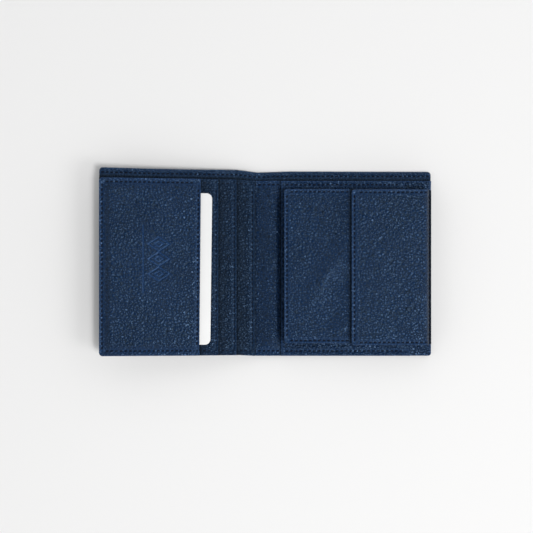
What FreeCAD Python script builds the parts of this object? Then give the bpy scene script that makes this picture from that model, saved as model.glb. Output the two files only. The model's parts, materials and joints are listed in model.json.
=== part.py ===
"""Small bifold wallet, standing open: card pockets on the left half, a coin pocket on the right half.

Row frame, millimetres: +X to the coin side, +Y to the note opening, +Z up off the table.
The origin is under the middle of the fold, on the table. Every left and spine piece is drawn
lying flat and is then lifted about the two fold lines, as far as the open wallet stands.
"""

import FreeCAD
import Part
import Sketcher
import math
import os
import re

# Driving dimensions, millimetres and degrees.
DIMENSIONS = {
    # The fold: two lines, one each side of the spine, above the outer leather.
    "fold_offset": 5.0,
    "fold_height": 4.0,
    "fold_slit": 0.15,
    "open_tilt": 3.5,
    # Outer cover.
    "right_reach": 94.0,
    "left_reach": 94.2,
    "cover_half": 52.6,
    "cover_corner": 2.0,
    "cover_leather": 0.8,
    "board": 0.3,
    "lining": 0.2,
    "board_margin": 3.0,
    "hem_width": 9.6,
    "note_gap": 0.2,
    # Inner panels, sewn to the cover at both ends and along the bottom.
    "panel_top": 47.3,
    "panel_leather": 0.8,
    "base_leather": 0.5,
    "seam_width": 3.3,
    # Card pockets, each one opening towards the spine.
    "pocket_edge": 6.6,
    "pocket_pitch": 10.4,
    "pocket_leather": 0.6,
    "pocket_strip": 24.0,
    "pocket_cloth": 0.3,
    "card_room": 1.0,
    # Identification card of the ID-1 size.
    "card_length": 85.6,
    "card_width": 53.98,
    "card_thickness": 0.76,
    "card_corner": 3.18,
    "card_edge": 31.5,
    "card_middle": -2.7,
    "card_turn": 0.7,
    "card_play": 0.12,
    # Slip pocket behind the coin pocket.
    "slip_edge": 8.3,
    "slip_mouth_top": 78.7,
    "slip_mouth_bottom": 81.9,
    # Coin pocket.
    "coin_edge": 9.9,
    "coin_mouth": 77.0,
    "coin_top": 42.2,
    "coin_bottom": -45.0,
    "coin_depth": 4.8,
    "coin_leather": 0.9,
    "backing_leather": 0.5,
    # Coin flap, sewn in at the right-hand edge.
    "flap_gap": 0.8,
    "flap_edge": 47.8,
    "flap_ridge": 79.6,
    "flap_end": 91.3,
    "flap_slope": 31.0,
    "flap_top": 41.8,
    "flap_bottom": -45.9,
    "flap_lining": 0.7,
    "flap_leather": 0.8,
    "tab_edge": 91.8,
    "tab_leather": 0.8,
    # Hidden press stud under the flap.
    "stud_x": 56.0,
    "stud_y": -2.0,
    "shank_radius": 1.2,
    "washer_radius": 3.4,
    "washer_height": 0.3,
    "neck_radius": 1.5,
    "bulb_radius": 1.9,
    "socket_inner": 2.7,
    "socket_outer": 4.4,
    "cap_radius": 4.8,
    "cap_height": 0.3,
    "stud_play": 0.1,
    # Thread of the seams.
    "thread_width": 0.5,
    "thread_height": 0.1,
    "hem_seam": 49.9,
    "panel_seam_top": 45.0,
    "panel_seam_bottom": -49.8,
    "edge_seam": 1.4,
    "seam_end": 1.0,
    "mouth_clear": 3.0,
}

# Heights of the layers above the table while the wallet lies flat.
BOARD_LOW = "cover_leather"
LINING_LOW = f"{BOARD_LOW} + board"
COVER_TOP = f"{LINING_LOW} + lining"
PANEL_LOW = f"{COVER_TOP} + note_gap"
BASE_TOP = f"{PANEL_LOW} + base_leather"
CARD_FLOOR = f"{BASE_TOP} + 3 * pocket_leather"
FRONT_LOW = f"{CARD_FLOOR} + card_room"
FRONT_TOP = f"{FRONT_LOW} + lining + pocket_leather"
PANEL_TOP = f"{PANEL_LOW} + panel_leather"
SLIP_TOP = f"{PANEL_TOP} + panel_leather"
COIN_FLOOR = f"{SLIP_TOP} + backing_leather"
COIN_ROOF = f"{COIN_FLOOR} + coin_depth"
COIN_TOP = f"{COIN_ROOF} + lining + coin_leather"
FLAP_LOW = f"{COIN_TOP} + flap_gap"
FLAP_MIDDLE = f"{FLAP_LOW} + flap_lining"
FLAP_HIGH = f"{FLAP_MIDDLE} + flap_leather"

# Where a strip ends next to a fold line.
SLIT_RIGHT = "fold_offset + fold_slit"
SLIT_LEFT = f"-({SLIT_RIGHT})"
SPINE_RIGHT = "fold_offset - fold_slit"
SPINE_LEFT = f"-({SPINE_RIGHT})"

# A hole that removes less than this, in cubic millimetres, has missed its layer.
SMALLEST_CUT = 0.5

WORD = re.compile(r"\b(" + "|".join(DIMENSIONS) + r")\b")

doc = FreeCAD.newDocument("wallet")
sheet = doc.addObject("Spreadsheet::Sheet", "dims")
for row, (alias, value) in enumerate(DIMENSIONS.items(), 1):
    sheet.set(f"A{row}", alias)
    sheet.set(f"B{row}", str(value))
    sheet.setAlias(f"B{row}", alias)
doc.recompute()


def bound(text):
    """The expression that reads each dimension named in text from the spreadsheet."""
    return WORD.sub(r"dims.\1", text)


# ---------------------------------------------------------------- drawing helpers


def new_body(name):
    body = doc.addObject("PartDesign::Body", name)
    body.Label = name
    return body


def attached_sketch(body, plane, level, move_x="0"):
    """A sketch on one of the body's own origin planes, raised by level along the plane's normal."""
    sketch = body.newObject("Sketcher::SketchObject", f"{body.Name}_outline")
    support = next(item for item in body.Origin.OriginFeatures if item.Role == plane)
    sketch.AttachmentSupport = [(support, "")]
    sketch.MapMode = "FlatFace"
    sketch.setExpression("AttachmentOffset.Base.x", bound(move_x))
    sketch.setExpression("AttachmentOffset.Base.z", bound(level))
    return sketch


def draw_loop(sketch, corners):
    """One closed outline of straight lines, each corner held at its two expressions."""
    first = sketch.GeometryCount
    count = len(corners)
    turn = 2 * math.pi / count
    start = [FreeCAD.Vector(10 * math.cos(i * turn), 10 * math.sin(i * turn), 0) for i in range(count)]
    for i in range(count):
        sketch.addGeometry(Part.LineSegment(start[i], start[(i + 1) % count]), False)
    for i in range(count):
        sketch.addConstraint(Sketcher.Constraint("Coincident", first + i, 2, first + (i + 1) % count, 1))
    for i, corner in enumerate(corners):
        for kind, at, text in zip(("DistanceX", "DistanceY"), (start[i].x, start[i].y), corner):
            rule = sketch.addConstraint(Sketcher.Constraint(kind, -1, 1, first + i, 1, at))
            name = f"{kind}_{first + i}"
            sketch.renameConstraint(rule, name)
            sketch.setExpression(f"Constraints.{name}", bound(text))


def draw_circle(sketch, x, y, radius):
    """A circle whose centre and radius are expressions."""
    ring = sketch.addGeometry(Part.Circle(FreeCAD.Vector(1, 1, 0), FreeCAD.Vector(0, 0, 1), 1), False)
    rules = {
        "centre_x": Sketcher.Constraint("DistanceX", -1, 1, ring, 3, 1.0),
        "centre_y": Sketcher.Constraint("DistanceY", -1, 1, ring, 3, 1.0),
        "radius": Sketcher.Constraint("Radius", ring, 1.0),
    }
    for name, text in zip(rules, (x, y, radius)):
        sketch.renameConstraint(sketch.addConstraint(rules[name]), name)
        sketch.setExpression(f"Constraints.{name}", bound(text))


def rectangle(x, y):
    """Corners of a rectangle from its two spans, each a pair of expressions."""
    return [(x[0], y[0]), (x[1], y[0]), (x[1], y[1]), (x[0], y[1])]


def pad(body, sketch, length):
    feature = body.newObject("PartDesign::Pad", f"{body.Name}_pad")
    feature.Profile = sketch
    feature.setExpression("Length", bound(length))
    return feature


def slab(name, loops, low, thickness):
    """A flat layer: its outlines seen from above, the height of its underside, and its thickness."""
    body = new_body(name)
    sketch = attached_sketch(body, "XY_Plane", low)
    for corners in loops:
        draw_loop(sketch, corners)
    pad(body, sketch, thickness)
    return body


def side_profile(name, corners, bottom, top):
    """A bent layer: its outline seen from the bottom edge of the wallet, stretched from bottom to top."""
    body = new_body(name)
    sketch = attached_sketch(body, "XZ_Plane", f"-({top})")
    draw_loop(sketch, corners)
    pad(body, sketch, f"{top} - ({bottom})")
    return body


def turned(name, corners):
    """A small round metal piece: half of its section, turned about the stud's upright axis."""
    body = new_body(name)
    sketch = attached_sketch(body, "XZ_Plane", "-stud_y", move_x="stud_x")
    draw_loop(sketch, corners)
    feature = body.newObject("PartDesign::Revolution", f"{name}_turning")
    feature.Profile = sketch
    feature.ReferenceAxis = (sketch, ["V_Axis"])
    feature.Angle = 360
    return body


def round_hole(body, radius, low, depth):
    """Cuts a round hole on the stud's axis, from low upwards, and checks that it did cut."""
    doc.recompute()
    before = body.Shape.Volume
    sketch = attached_sketch(body, "XY_Plane", low)
    draw_circle(sketch, "stud_x", "stud_y", radius)
    feature = body.newObject("PartDesign::Pocket", f"{body.Name}_hole")
    feature.Profile = sketch
    feature.setExpression("Length", bound(depth))
    feature.Reversed = True
    doc.recompute()
    if body.Shape.Volume > before - SMALLEST_CUT:
        raise RuntimeError(f"the hole in {body.Label} cut nothing")


def round_corners(body, side, radius="cover_corner"):
    """Rounds the upright edges at one end of a layer, XMin or XMax, or at both."""
    doc.recompute()
    shape = body.Tip.Shape
    ends = [getattr(shape.BoundBox, end) for end in side.split()]
    names = []
    for number, edge in enumerate(shape.Edges, 1):
        upright = abs(edge.tangentAt(edge.FirstParameter).z) > 0.99
        if upright and any(abs(edge.CenterOfMass.x - x) < 0.01 for x in ends):
            names.append(f"Edge{number}")
    last = body.Tip
    feature = body.newObject("PartDesign::Fillet", f"{body.Name}_corners")
    feature.Base = (last, names)
    feature.setExpression("Radius", bound(radius))


def lift(body, turns):
    """Puts a flat-drawn piece where it stands: turned about one fold line (spine) or both (left half)."""
    cosine = "cos(open_tilt)"
    sine = "sin(open_tilt)"
    base_x = f"(fold_offset * (1 - {cosine}) - fold_height * {sine})"
    base_z = f"(fold_height * (1 - {cosine}) + fold_offset * {sine})"
    if turns == 2:
        inner_x = f"(-fold_offset * (1 - {cosine}) - fold_height * {sine})"
        inner_z = f"(fold_height * (1 - {cosine}) - fold_offset * {sine})"
        base_x = f"{base_x} + {inner_x} * {cosine} + {inner_z} * {sine}"
        base_z = f"{base_z} - {inner_x} * {sine} + {inner_z} * {cosine}"
    body.Placement = FreeCAD.Placement(FreeCAD.Vector(), FreeCAD.Rotation(FreeCAD.Vector(0, 1, 0), 1))
    body.setExpression("Placement.Rotation.Angle", bound(f"{turns} * open_tilt"))
    body.setExpression("Placement.Base.x", bound(base_x))
    body.setExpression("Placement.Base.z", bound(base_z))
    return body


# ---------------------------------------------------------------- the cover

FULL_HEIGHT = ("-cover_half", "cover_half")
LINED_HEIGHT = ("-cover_half", "cover_half - hem_width")


def cover_section(where, x, board_x=None, corners=None):
    """One stretch of the cover: outer leather with its turned-over hem, stiffening board and lining."""
    leather = slab(f"cover_{where}", [rectangle(x, FULL_HEIGHT)], "0", "cover_leather")
    hem_sketch = attached_sketch(leather, "XY_Plane", BOARD_LOW)
    draw_loop(hem_sketch, rectangle(x, ("cover_half - hem_width", "cover_half")))
    pad(leather, hem_sketch, "board + lining")
    if corners:
        round_corners(leather, corners)
    pieces = [leather]
    lining_low = LINING_LOW if board_x else BOARD_LOW
    lining_thickness = "lining" if board_x else "board + lining"
    if board_x:
        height = ("-cover_half + board_margin", "cover_half - hem_width")
        pieces.append(slab(f"stiffener_{where}", [rectangle(board_x, height)], BOARD_LOW, "board"))
    lined = rectangle(x, LINED_HEIGHT)
    cover_lining = slab(f"cover_lining_{where}", [lined], lining_low, lining_thickness)
    if corners:
        round_corners(cover_lining, corners)
    pieces.append(cover_lining)
    return pieces


def thread(name, loops, low):
    """The thread of a seam, standing a little proud of the leather."""
    return slab(name, loops, low, "thread_height")


def thread_along_x(x_low, x_high, y):
    return rectangle((x_low, x_high), (f"{y} - thread_width / 2", f"{y} + thread_width / 2"))


def thread_along_y(x, y_low, y_high):
    return rectangle((f"{x} - thread_width / 2", f"{x} + thread_width / 2"), (y_low, y_high))


def thread_bracket(x_open, x_closed, y_low, y_high):
    """A seam along both long sides and across the end at x_closed, its lower x, as a squared bracket."""
    inner = f"{x_closed} + thread_width"
    return [
        (x_open, y_low),
        (x_closed, y_low),
        (x_closed, y_high),
        (x_open, y_high),
        (x_open, f"{y_high} - thread_width"),
        (inner, f"{y_high} - thread_width"),
        (inner, f"{y_low} + thread_width"),
        (x_open, f"{y_low} + thread_width"),
    ]


# ---------------------------------------------------------------- right half: slip pocket and coin pocket


def right_half():
    cover_section(
        "right",
        (SLIT_RIGHT, "right_reach"),
        board_x=(f"{SLIT_RIGHT} + board_margin", "right_reach - board_margin"),
        corners="XMax",
    )
    panel_y = ("-cover_half", "panel_top")
    panel = rectangle((SLIT_RIGHT, "right_reach"), panel_y)
    slab("inner_panel_right", [panel], PANEL_LOW, "panel_leather")
    slip = [
        ("slip_edge", "-cover_half"),
        ("slip_mouth_bottom", "-cover_half"),
        ("slip_mouth_top", "panel_top"),
        ("slip_edge", "panel_top"),
    ]
    slab("slip_pocket", [slip], PANEL_TOP, "panel_leather")
    hem_seam = thread_along_x(SLIT_RIGHT, "right_reach - seam_end", "hem_seam")
    thread("hem_stitching_right", [hem_seam], COVER_TOP)
    slip_seams = [
        thread_along_x("slip_edge + seam_end", "slip_mouth_top - seam_end", "panel_seam_top"),
        thread_along_x("slip_edge + seam_end", "slip_mouth_bottom - seam_end", "panel_seam_bottom"),
    ]
    thread("slip_stitching", slip_seams, SLIP_TOP)
    tab = rectangle(("tab_edge", "right_reach"), ("flap_bottom", "flap_top"))
    slab("flap_seam_tab", [tab], PANEL_TOP, "tab_leather")
    tab_middle = "(tab_edge + right_reach) / 2"
    tab_seam = thread_along_y(tab_middle, "flap_bottom + seam_end", "flap_top - seam_end")
    thread("flap_seam_stitching", [tab_seam], f"{PANEL_TOP} + tab_leather")


def coin_pocket():
    """A shallow box of soft leather on the slip pocket, open towards the outer edge."""
    outline = rectangle(("coin_edge", "coin_mouth"), ("coin_bottom", "coin_top"))
    slab("coin_pocket_backing", [outline], SLIP_TOP, "backing_leather")
    wall_x = ("coin_edge", "coin_edge + coin_leather")
    side = rectangle(wall_x, ("coin_bottom", "coin_top"))
    past_side = ("coin_edge + coin_leather", "coin_mouth")
    upper = rectangle(past_side, ("coin_top - coin_leather", "coin_top"))
    lower = rectangle(past_side, ("coin_bottom", "coin_bottom + coin_leather"))
    for where, wall in {"side": side, "upper": upper, "lower": lower}.items():
        slab(f"coin_gusset_{where}", [wall], COIN_FLOOR, "coin_depth")
    front_lining = slab("coin_front_lining", [outline], COIN_ROOF, "lining")
    round_hole(front_lining, "shank_radius", COIN_ROOF, "lining")
    front = slab("coin_pocket_front", [outline], f"{COIN_ROOF} + lining", "coin_leather")
    round_hole(front, "shank_radius", f"{COIN_ROOF} + lining", "coin_leather")
    seam = thread_bracket(
        "coin_mouth - seam_end",
        "coin_edge + edge_seam",
        "coin_bottom + edge_seam",
        "coin_top - edge_seam",
    )
    thread("coin_stitching", [seam], COIN_TOP)


def press_stud():
    """Washer and stud on the pocket, socket and cap in the flap, all hidden under the flap's leather."""
    washer_low = f"{COIN_ROOF} - washer_height"
    turned("stud_washer", rectangle(("shank_radius", "washer_radius"), (washer_low, COIN_ROOF)))
    flange_top = f"{COIN_TOP} + washer_height"
    bulb_top = f"{FLAP_MIDDLE} - stud_play"
    stud = [
        ("0", washer_low),
        ("shank_radius", washer_low),
        ("shank_radius", COIN_TOP),
        ("washer_radius", COIN_TOP),
        ("washer_radius", flange_top),
        ("neck_radius", flange_top),
        ("neck_radius", FLAP_LOW),
        ("bulb_radius", f"{FLAP_LOW} + stud_play"),
        ("bulb_radius", f"{bulb_top} - stud_play"),
        ("neck_radius", bulb_top),
        ("0", bulb_top),
    ]
    turned("stud_post", stud)
    socket_low = f"{FLAP_LOW} - stud_play"
    turned("stud_socket", rectangle(("socket_inner", "socket_outer"), (socket_low, FLAP_MIDDLE)))
    turned("stud_cap", rectangle(("0", "cap_radius"), (FLAP_MIDDLE, f"{FLAP_MIDDLE} + cap_height")))


def flap_layer(name, low, thickness):
    """One layer of the flap: level over the pocket, then down the slope to the sewn edge."""
    slope = "tan(flap_slope)"
    mitre = "tan(flap_slope / 2)"
    rise = f"({low} - ({FLAP_LOW}))"
    outer_rise = f"({rise} + {thickness})"
    ridge_low = f"flap_ridge + {rise} * {mitre}"
    ridge_high = f"flap_ridge + {outer_rise} * {mitre}"
    end_low = f"{low} - (flap_end - ({ridge_low})) * {slope}"
    end_high = f"{low} + {thickness} - (flap_end - ({ridge_high})) * {slope}"
    corners = [
        ("flap_edge", low),
        (ridge_low, low),
        ("flap_end", end_low),
        ("flap_end", end_high),
        (ridge_high, f"{low} + {thickness}"),
        ("flap_edge", f"{low} + {thickness}"),
    ]
    return side_profile(name, corners, "flap_bottom", "flap_top")


def coin_flap():
    flap_lining = flap_layer("coin_flap_lining", FLAP_LOW, "flap_lining")
    round_hole(flap_lining, "socket_outer", FLAP_LOW, "flap_lining")
    leather = flap_layer("coin_flap_leather", FLAP_MIDDLE, "flap_leather")
    round_hole(leather, "cap_radius", FLAP_MIDDLE, "cap_height")
    seam = thread_bracket(
        "flap_ridge - seam_end",
        "flap_edge + edge_seam",
        "flap_bottom + edge_seam",
        "flap_top - edge_seam",
    )
    thread("flap_stitching", [seam], FLAP_HIGH)


# ---------------------------------------------------------------- spine


def spine():
    x = (SPINE_LEFT, SPINE_RIGHT)
    pieces = cover_section("spine", x)
    panel = rectangle(x, ("-cover_half", "panel_top"))
    pieces.append(slab("inner_panel_spine", [panel], PANEL_LOW, "base_leather"))
    pieces.append(thread("hem_stitching_spine", [thread_along_x(*x, "hem_seam")], COVER_TOP))
    panel_seams = [thread_along_x(*x, "panel_seam_top"), thread_along_x(*x, "panel_seam_bottom")]
    pieces.append(thread("panel_stitching_spine", panel_seams, BASE_TOP))
    for piece in pieces:
        lift(piece, turns=1)


# ---------------------------------------------------------------- left half: card pockets


def pocket_start(number):
    """Distance of a pocket's free edge from the middle of the fold. Pocket 1 is the front one."""
    return f"(pocket_edge + {4 - number} * pocket_pitch)"


def card_pocket(number):
    """One stepped pocket: a leather strip at the mouth, then cloth down to the outer seam."""
    low = f"{BASE_TOP} + {4 - number} * pocket_leather"
    start = pocket_start(number)
    panel_y = ("-cover_half", "panel_top")
    strip_x = (f"-({start} + pocket_strip)", f"-{start}")
    cloth_x = ("-(left_reach - seam_width)", f"-({start} + pocket_strip)")
    seam = thread_along_y(f"-({start} + edge_seam)", "panel_seam_bottom", "panel_seam_top")
    return [
        slab(f"slot_{number}_leather", [rectangle(strip_x, panel_y)], low, "pocket_leather"),
        slab(
            f"slot_{number}_cloth",
            [rectangle(cloth_x, panel_y)],
            f"{low} + pocket_leather - pocket_cloth",
            "pocket_cloth",
        ),
        thread(f"slot_{number}_stitching", [seam], f"{low} + pocket_leather"),
    ]


def front_pocket():
    """The full-width pocket that holds the card, with its turned-in edges sewn down on three sides."""
    start = pocket_start(1)
    panel_y = ("-cover_half", "panel_top")
    whole = rectangle(("-left_reach", f"-{start}"), panel_y)
    leather = slab("front_pocket", [whole], f"{FRONT_LOW} + lining", "pocket_leather")
    pocket_lining = slab("front_pocket_lining", [whole], FRONT_LOW, "lining")
    round_corners(leather, "XMin")
    round_corners(pocket_lining, "XMin")
    inside_x = ("-(left_reach - seam_width)", f"-{start}")
    outer = rectangle(("-left_reach", "-(left_reach - seam_width)"), panel_y)
    upper = rectangle(inside_x, ("panel_top - seam_width", "panel_top"))
    lower = rectangle(inside_x, ("-cover_half", "-cover_half + seam_width"))
    outer_hem = slab("pocket_hem_outer", [outer], BASE_TOP, "3 * pocket_leather + card_room")
    round_corners(outer_hem, "XMin")
    edge_seam = thread_bracket(
        f"-({start} + mouth_clear)",
        "-(left_reach - edge_seam)",
        "panel_seam_bottom",
        "panel_seam_top",
    )
    mouth_seam = thread_along_y(f"-({start} + edge_seam)", "panel_seam_bottom", "panel_seam_top")
    return [
        leather,
        pocket_lining,
        outer_hem,
        slab("pocket_hem_upper", [upper], CARD_FLOOR, "card_room"),
        slab("pocket_hem_lower", [lower], CARD_FLOOR, "card_room"),
        thread("edge_stitching_left", [edge_seam], FRONT_TOP),
        thread("front_pocket_stitching", [mouth_seam], FRONT_TOP),
    ]


def blank_card():
    """A plain card, turned very slightly in its pocket. It is drawn about its own middle."""
    half_x = "card_width / 2"
    half_y = "card_length / 2"
    card = slab(
        "blank_card",
        [rectangle((f"-{half_x}", half_x), (f"-{half_y}", half_y))],
        "0",
        "card_thickness",
    )
    round_corners(card, "XMin XMax", "card_corner")
    return card


def place_card(card):
    """Lays the card in the front pocket, in the tilt of the left half."""
    flat_x = -(sheet.card_edge + sheet.card_width / 2)
    floor = sheet.cover_leather + sheet.board + sheet.lining + sheet.note_gap + sheet.base_leather
    floor += 3 * sheet.pocket_leather + sheet.card_play
    spot = FreeCAD.Vector(flat_x, sheet.card_middle, floor)
    turn = FreeCAD.Rotation(FreeCAD.Vector(0, 0, 1), -sheet.card_turn)
    left = doc.getObject("front_pocket").Placement
    card.Placement = left.multiply(FreeCAD.Placement(spot, turn))


def left_half():
    pieces = cover_section(
        "left",
        ("-left_reach", SLIT_LEFT),
        board_x=("-(left_reach - board_margin)", f"{SLIT_LEFT} - board_margin"),
        corners="XMin",
    )
    base_outline = rectangle(("-left_reach", SLIT_LEFT), ("-cover_half", "panel_top"))
    base = slab("pocket_base", [base_outline], PANEL_LOW, "base_leather")
    round_corners(base, "XMin")
    pieces.append(base)
    hem_seam = thread_along_x("-(left_reach - seam_end)", SLIT_LEFT, "hem_seam")
    pieces.append(thread("hem_stitching_left", [hem_seam], COVER_TOP))
    for number in (4, 3, 2):
        pieces += card_pocket(number)
    pieces += front_pocket()
    for piece in pieces:
        lift(piece, turns=2)


right_half()
coin_pocket()
press_stud()
coin_flap()
spine()
left_half()
doc.recompute()
place_card(blank_card())
doc.recompute()

# ---------------------------------------------------------------- checks and export

for item in doc.Objects:
    if {"Invalid", "Error"} & set(item.State):
        raise RuntimeError(f"{item.Name} did not build: {item.State}")

os.makedirs("parts", exist_ok=True)
bodies = [item for item in doc.Objects if item.isDerivedFrom("PartDesign::Body")]
whole = FreeCAD.BoundBox()
for body in bodies:
    shape = body.Shape
    if shape.isNull() or not shape.isValid() or not shape.Solids:
        raise RuntimeError(f"{body.Label} has no valid solid")
    shape.exportStep(f"parts/{body.Label}.step")
    whole.add(shape.BoundBox)
print(len(bodies), "pieces", whole)
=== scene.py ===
import json
import math

import bpy
import numpy as np
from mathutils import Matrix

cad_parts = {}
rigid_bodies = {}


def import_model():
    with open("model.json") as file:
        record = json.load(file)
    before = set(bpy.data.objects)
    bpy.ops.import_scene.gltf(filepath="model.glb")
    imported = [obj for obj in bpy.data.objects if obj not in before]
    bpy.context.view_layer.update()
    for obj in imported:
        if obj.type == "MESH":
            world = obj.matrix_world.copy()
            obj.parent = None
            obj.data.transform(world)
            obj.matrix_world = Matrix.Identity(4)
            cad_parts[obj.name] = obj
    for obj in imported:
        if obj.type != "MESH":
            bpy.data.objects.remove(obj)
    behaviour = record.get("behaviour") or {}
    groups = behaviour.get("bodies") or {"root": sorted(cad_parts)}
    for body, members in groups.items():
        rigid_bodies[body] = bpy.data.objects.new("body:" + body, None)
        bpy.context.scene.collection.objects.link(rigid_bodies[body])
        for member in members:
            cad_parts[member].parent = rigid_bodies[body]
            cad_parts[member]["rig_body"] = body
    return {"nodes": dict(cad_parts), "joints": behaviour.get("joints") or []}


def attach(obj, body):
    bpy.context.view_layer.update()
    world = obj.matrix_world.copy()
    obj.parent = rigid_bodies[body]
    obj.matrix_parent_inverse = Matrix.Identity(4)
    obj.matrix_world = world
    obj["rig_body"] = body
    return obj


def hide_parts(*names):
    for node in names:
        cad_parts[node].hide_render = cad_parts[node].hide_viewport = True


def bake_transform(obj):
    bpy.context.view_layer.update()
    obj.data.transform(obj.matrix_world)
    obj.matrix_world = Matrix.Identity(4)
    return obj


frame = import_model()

bl_info = {
    "name": "Small bifold wallet",
    "version": (1, 0, 0),
    "blender": (4, 5, 0),
    "location": "3D View > Sidebar > Wallet",
    "description": "Cuts, folds and sews the leather of a small bifold wallet round its packed frame",
    "category": "Object",
}

MM = 0.001
SHARP_FOLD = math.radians(48)
SHARP_METAL = math.radians(35)
# An ordinary bank card: width, length and corner radius in millimetres.
CARD_WIDTH, CARD_LENGTH, CARD_CORNER = 53.98, 85.60, 3.18
CARD_ASKEW = -math.radians(0.7)
KEY_PLACE = (2.2, -1.0, 1.9)
UPPER_PLACE = (0.5, -0.32, 1.55)

# ------------------------------------------------------------------ sizes and colours


class WalletLeather(bpy.types.PropertyGroup):
    """Dyes and finishes of the materials, and the grain of the leather"""

    inner_colour: bpy.props.FloatVectorProperty(
        name="Inner leather", description="Dye of the pockets and panels", subtype="COLOR",
        size=3, min=0, max=1, default=(0.0035, 0.0130, 0.0400))
    cover_colour: bpy.props.FloatVectorProperty(
        name="Cover leather", description="Dye of the outer cover and its hem", subtype="COLOR",
        size=3, min=0, max=1, default=(0.0038, 0.0125, 0.0340))
    strip_colour: bpy.props.FloatVectorProperty(
        name="Pocket strips", description="Dye of the stepped card pockets", subtype="COLOR",
        size=3, min=0, max=1, default=(0.0026, 0.0088, 0.0240))
    thread_colour: bpy.props.FloatVectorProperty(
        name="Thread", description="Colour of the sewing thread", subtype="COLOR",
        size=3, min=0, max=1, default=(0.0014, 0.0028, 0.0090))
    cloth_colour: bpy.props.FloatVectorProperty(
        name="Lining cloth", description="Colour of the woven linings", subtype="COLOR",
        size=3, min=0, max=1, default=(0.0110, 0.0170, 0.0380))
    board_colour: bpy.props.FloatVectorProperty(
        name="Stiffening board", description="Colour of the hidden board", subtype="COLOR",
        size=3, min=0, max=1, default=(0.45, 0.40, 0.32))
    card_colour: bpy.props.FloatVectorProperty(
        name="Card", description="Colour of the blank card", subtype="COLOR",
        size=3, min=0, max=1, default=(0.725, 0.725, 0.72))
    sheen_tint: bpy.props.FloatVectorProperty(
        name="Gloss tint", description="Colour that the dyed finish gives to reflected light",
        subtype="COLOR", size=3, min=0, max=1, default=(0.35, 0.58, 0.96))
    metal_colour: bpy.props.FloatVectorProperty(
        name="Press stud", description="Colour of the plated stud", subtype="COLOR",
        size=3, min=0, max=1, default=(0.56, 0.52, 0.44))
    pebble: bpy.props.FloatProperty(
        name="Pebble", description="Width of one pebble of the grain", unit="LENGTH",
        min=0.0003, max=0.005, precision=5, default=0.0015)
    relief: bpy.props.FloatProperty(
        name="Relief", description="Depth of the grain between two pebbles", unit="LENGTH",
        min=0.0, max=0.001, precision=5, default=0.00058)


class WalletSewing(bpy.types.PropertyGroup):
    """Sizes of the stitches and of the dip they pull into the leather"""

    pitch: bpy.props.FloatProperty(
        name="Stitch", description="Length from one needle hole to the next", unit="LENGTH",
        min=0.001, max=0.006, precision=5, default=0.0026)
    thread: bpy.props.FloatProperty(
        name="Thread", description="Thickness of the thread", unit="LENGTH",
        min=0.0001, max=0.001, precision=5, default=0.00062)
    groove_width: bpy.props.FloatProperty(
        name="Groove width", description="Half width of the dip along a seam", unit="LENGTH",
        min=0.0002, max=0.002, precision=5, default=0.0007)
    groove_depth: bpy.props.FloatProperty(
        name="Groove depth", description="How far the thread pulls the leather in", unit="LENGTH",
        min=0.0, max=0.0006, precision=5, default=0.00026)


class WalletShape(bpy.types.PropertyGroup):
    """How far the soft layers bend, swell and are pressed"""

    fold_reach: bpy.props.FloatProperty(
        name="Fold reach", description="How far a fold's bend spreads each side of its line",
        unit="LENGTH", min=0.001, max=0.0049, precision=4, default=0.0045)
    spine_swell: bpy.props.FloatProperty(
        name="Spine swell", description="How far the inner panel buckles up over the spine",
        unit="LENGTH", min=0.0, max=0.004, precision=4, default=0.0026)
    rim_drop: bpy.props.FloatProperty(
        name="Rim drop", description="How far the sewn rim lies below the front pocket",
        unit="LENGTH", min=0.0, max=0.0015, precision=4, default=0.0011)
    emboss_depth: bpy.props.FloatProperty(
        name="Ornament depth", description="Depth of the pressed ornament", unit="LENGTH",
        min=0.0, max=0.0005, precision=5, default=0.0003)


class WalletStage(bpy.types.PropertyGroup):
    """The table, the lights and the camera"""

    floor_colour: bpy.props.FloatVectorProperty(
        name="Floor", description="Colour of the table top", subtype="COLOR",
        size=3, min=0, max=1, default=(0.80, 0.795, 0.79))
    camera_height: bpy.props.FloatProperty(
        name="Camera height", description="Height of the camera over the table", unit="LENGTH",
        min=0.1, max=3, default=0.575)
    camera_shift: bpy.props.FloatProperty(
        name="Camera place", description="Where the camera stands along Y", unit="LENGTH",
        min=-0.1, max=0.1, precision=4, default=-0.0016)
    view_width: bpy.props.FloatProperty(
        name="View width", description="Width of table that the camera takes in", unit="LENGTH",
        min=0.1, max=1, precision=4, default=0.3057)
    key_power: bpy.props.FloatProperty(
        name="Key light", description="Power of the large soft light", unit="POWER",
        min=0, max=200, default=18.0)
    key_size: bpy.props.FloatProperty(
        name="Key size", description="Side of the large soft light", unit="LENGTH", min=0.05, max=3,
        default=1.1)
    spark_power: bpy.props.FloatProperty(
        name="Upper light", description="Power of the small light near the camera", unit="POWER",
        min=0, max=200, default=14.0)
    spark_size: bpy.props.FloatProperty(
        name="Upper light size", description="Side of the small light near the camera",
        unit="LENGTH", min=0.05, max=3, default=0.4)
    sky_low: bpy.props.FloatProperty(
        name="Room light", description="Brightness of the room near the horizon",
        subtype="FACTOR", min=0, max=5, default=1.12)
    sky_high: bpy.props.FloatProperty(
        name="Ceiling light", description="Brightness of the room overhead",
        subtype="FACTOR", min=0, max=5, default=0.05)


# ------------------------------------------------------------------ the flat drawing and how it stands

JOINTS = {joint["name"]: joint for joint in frame["joints"]}
OPEN_TILT = -math.radians(JOINTS["spine_fold"]["range_deg"][0])
TURNS = {"right_half": 0, "coin_flap": 0, "spine": 1, "left_half": 2, "card": 2}


def smooth(value, start, end):
    """0 up to start, 1 from end on, and an even ease between them; start may be the larger."""
    share = np.clip((np.asarray(value, float) - start) / (end - start), 0, 1)
    return share * share * (3 - 2 * share)


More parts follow.
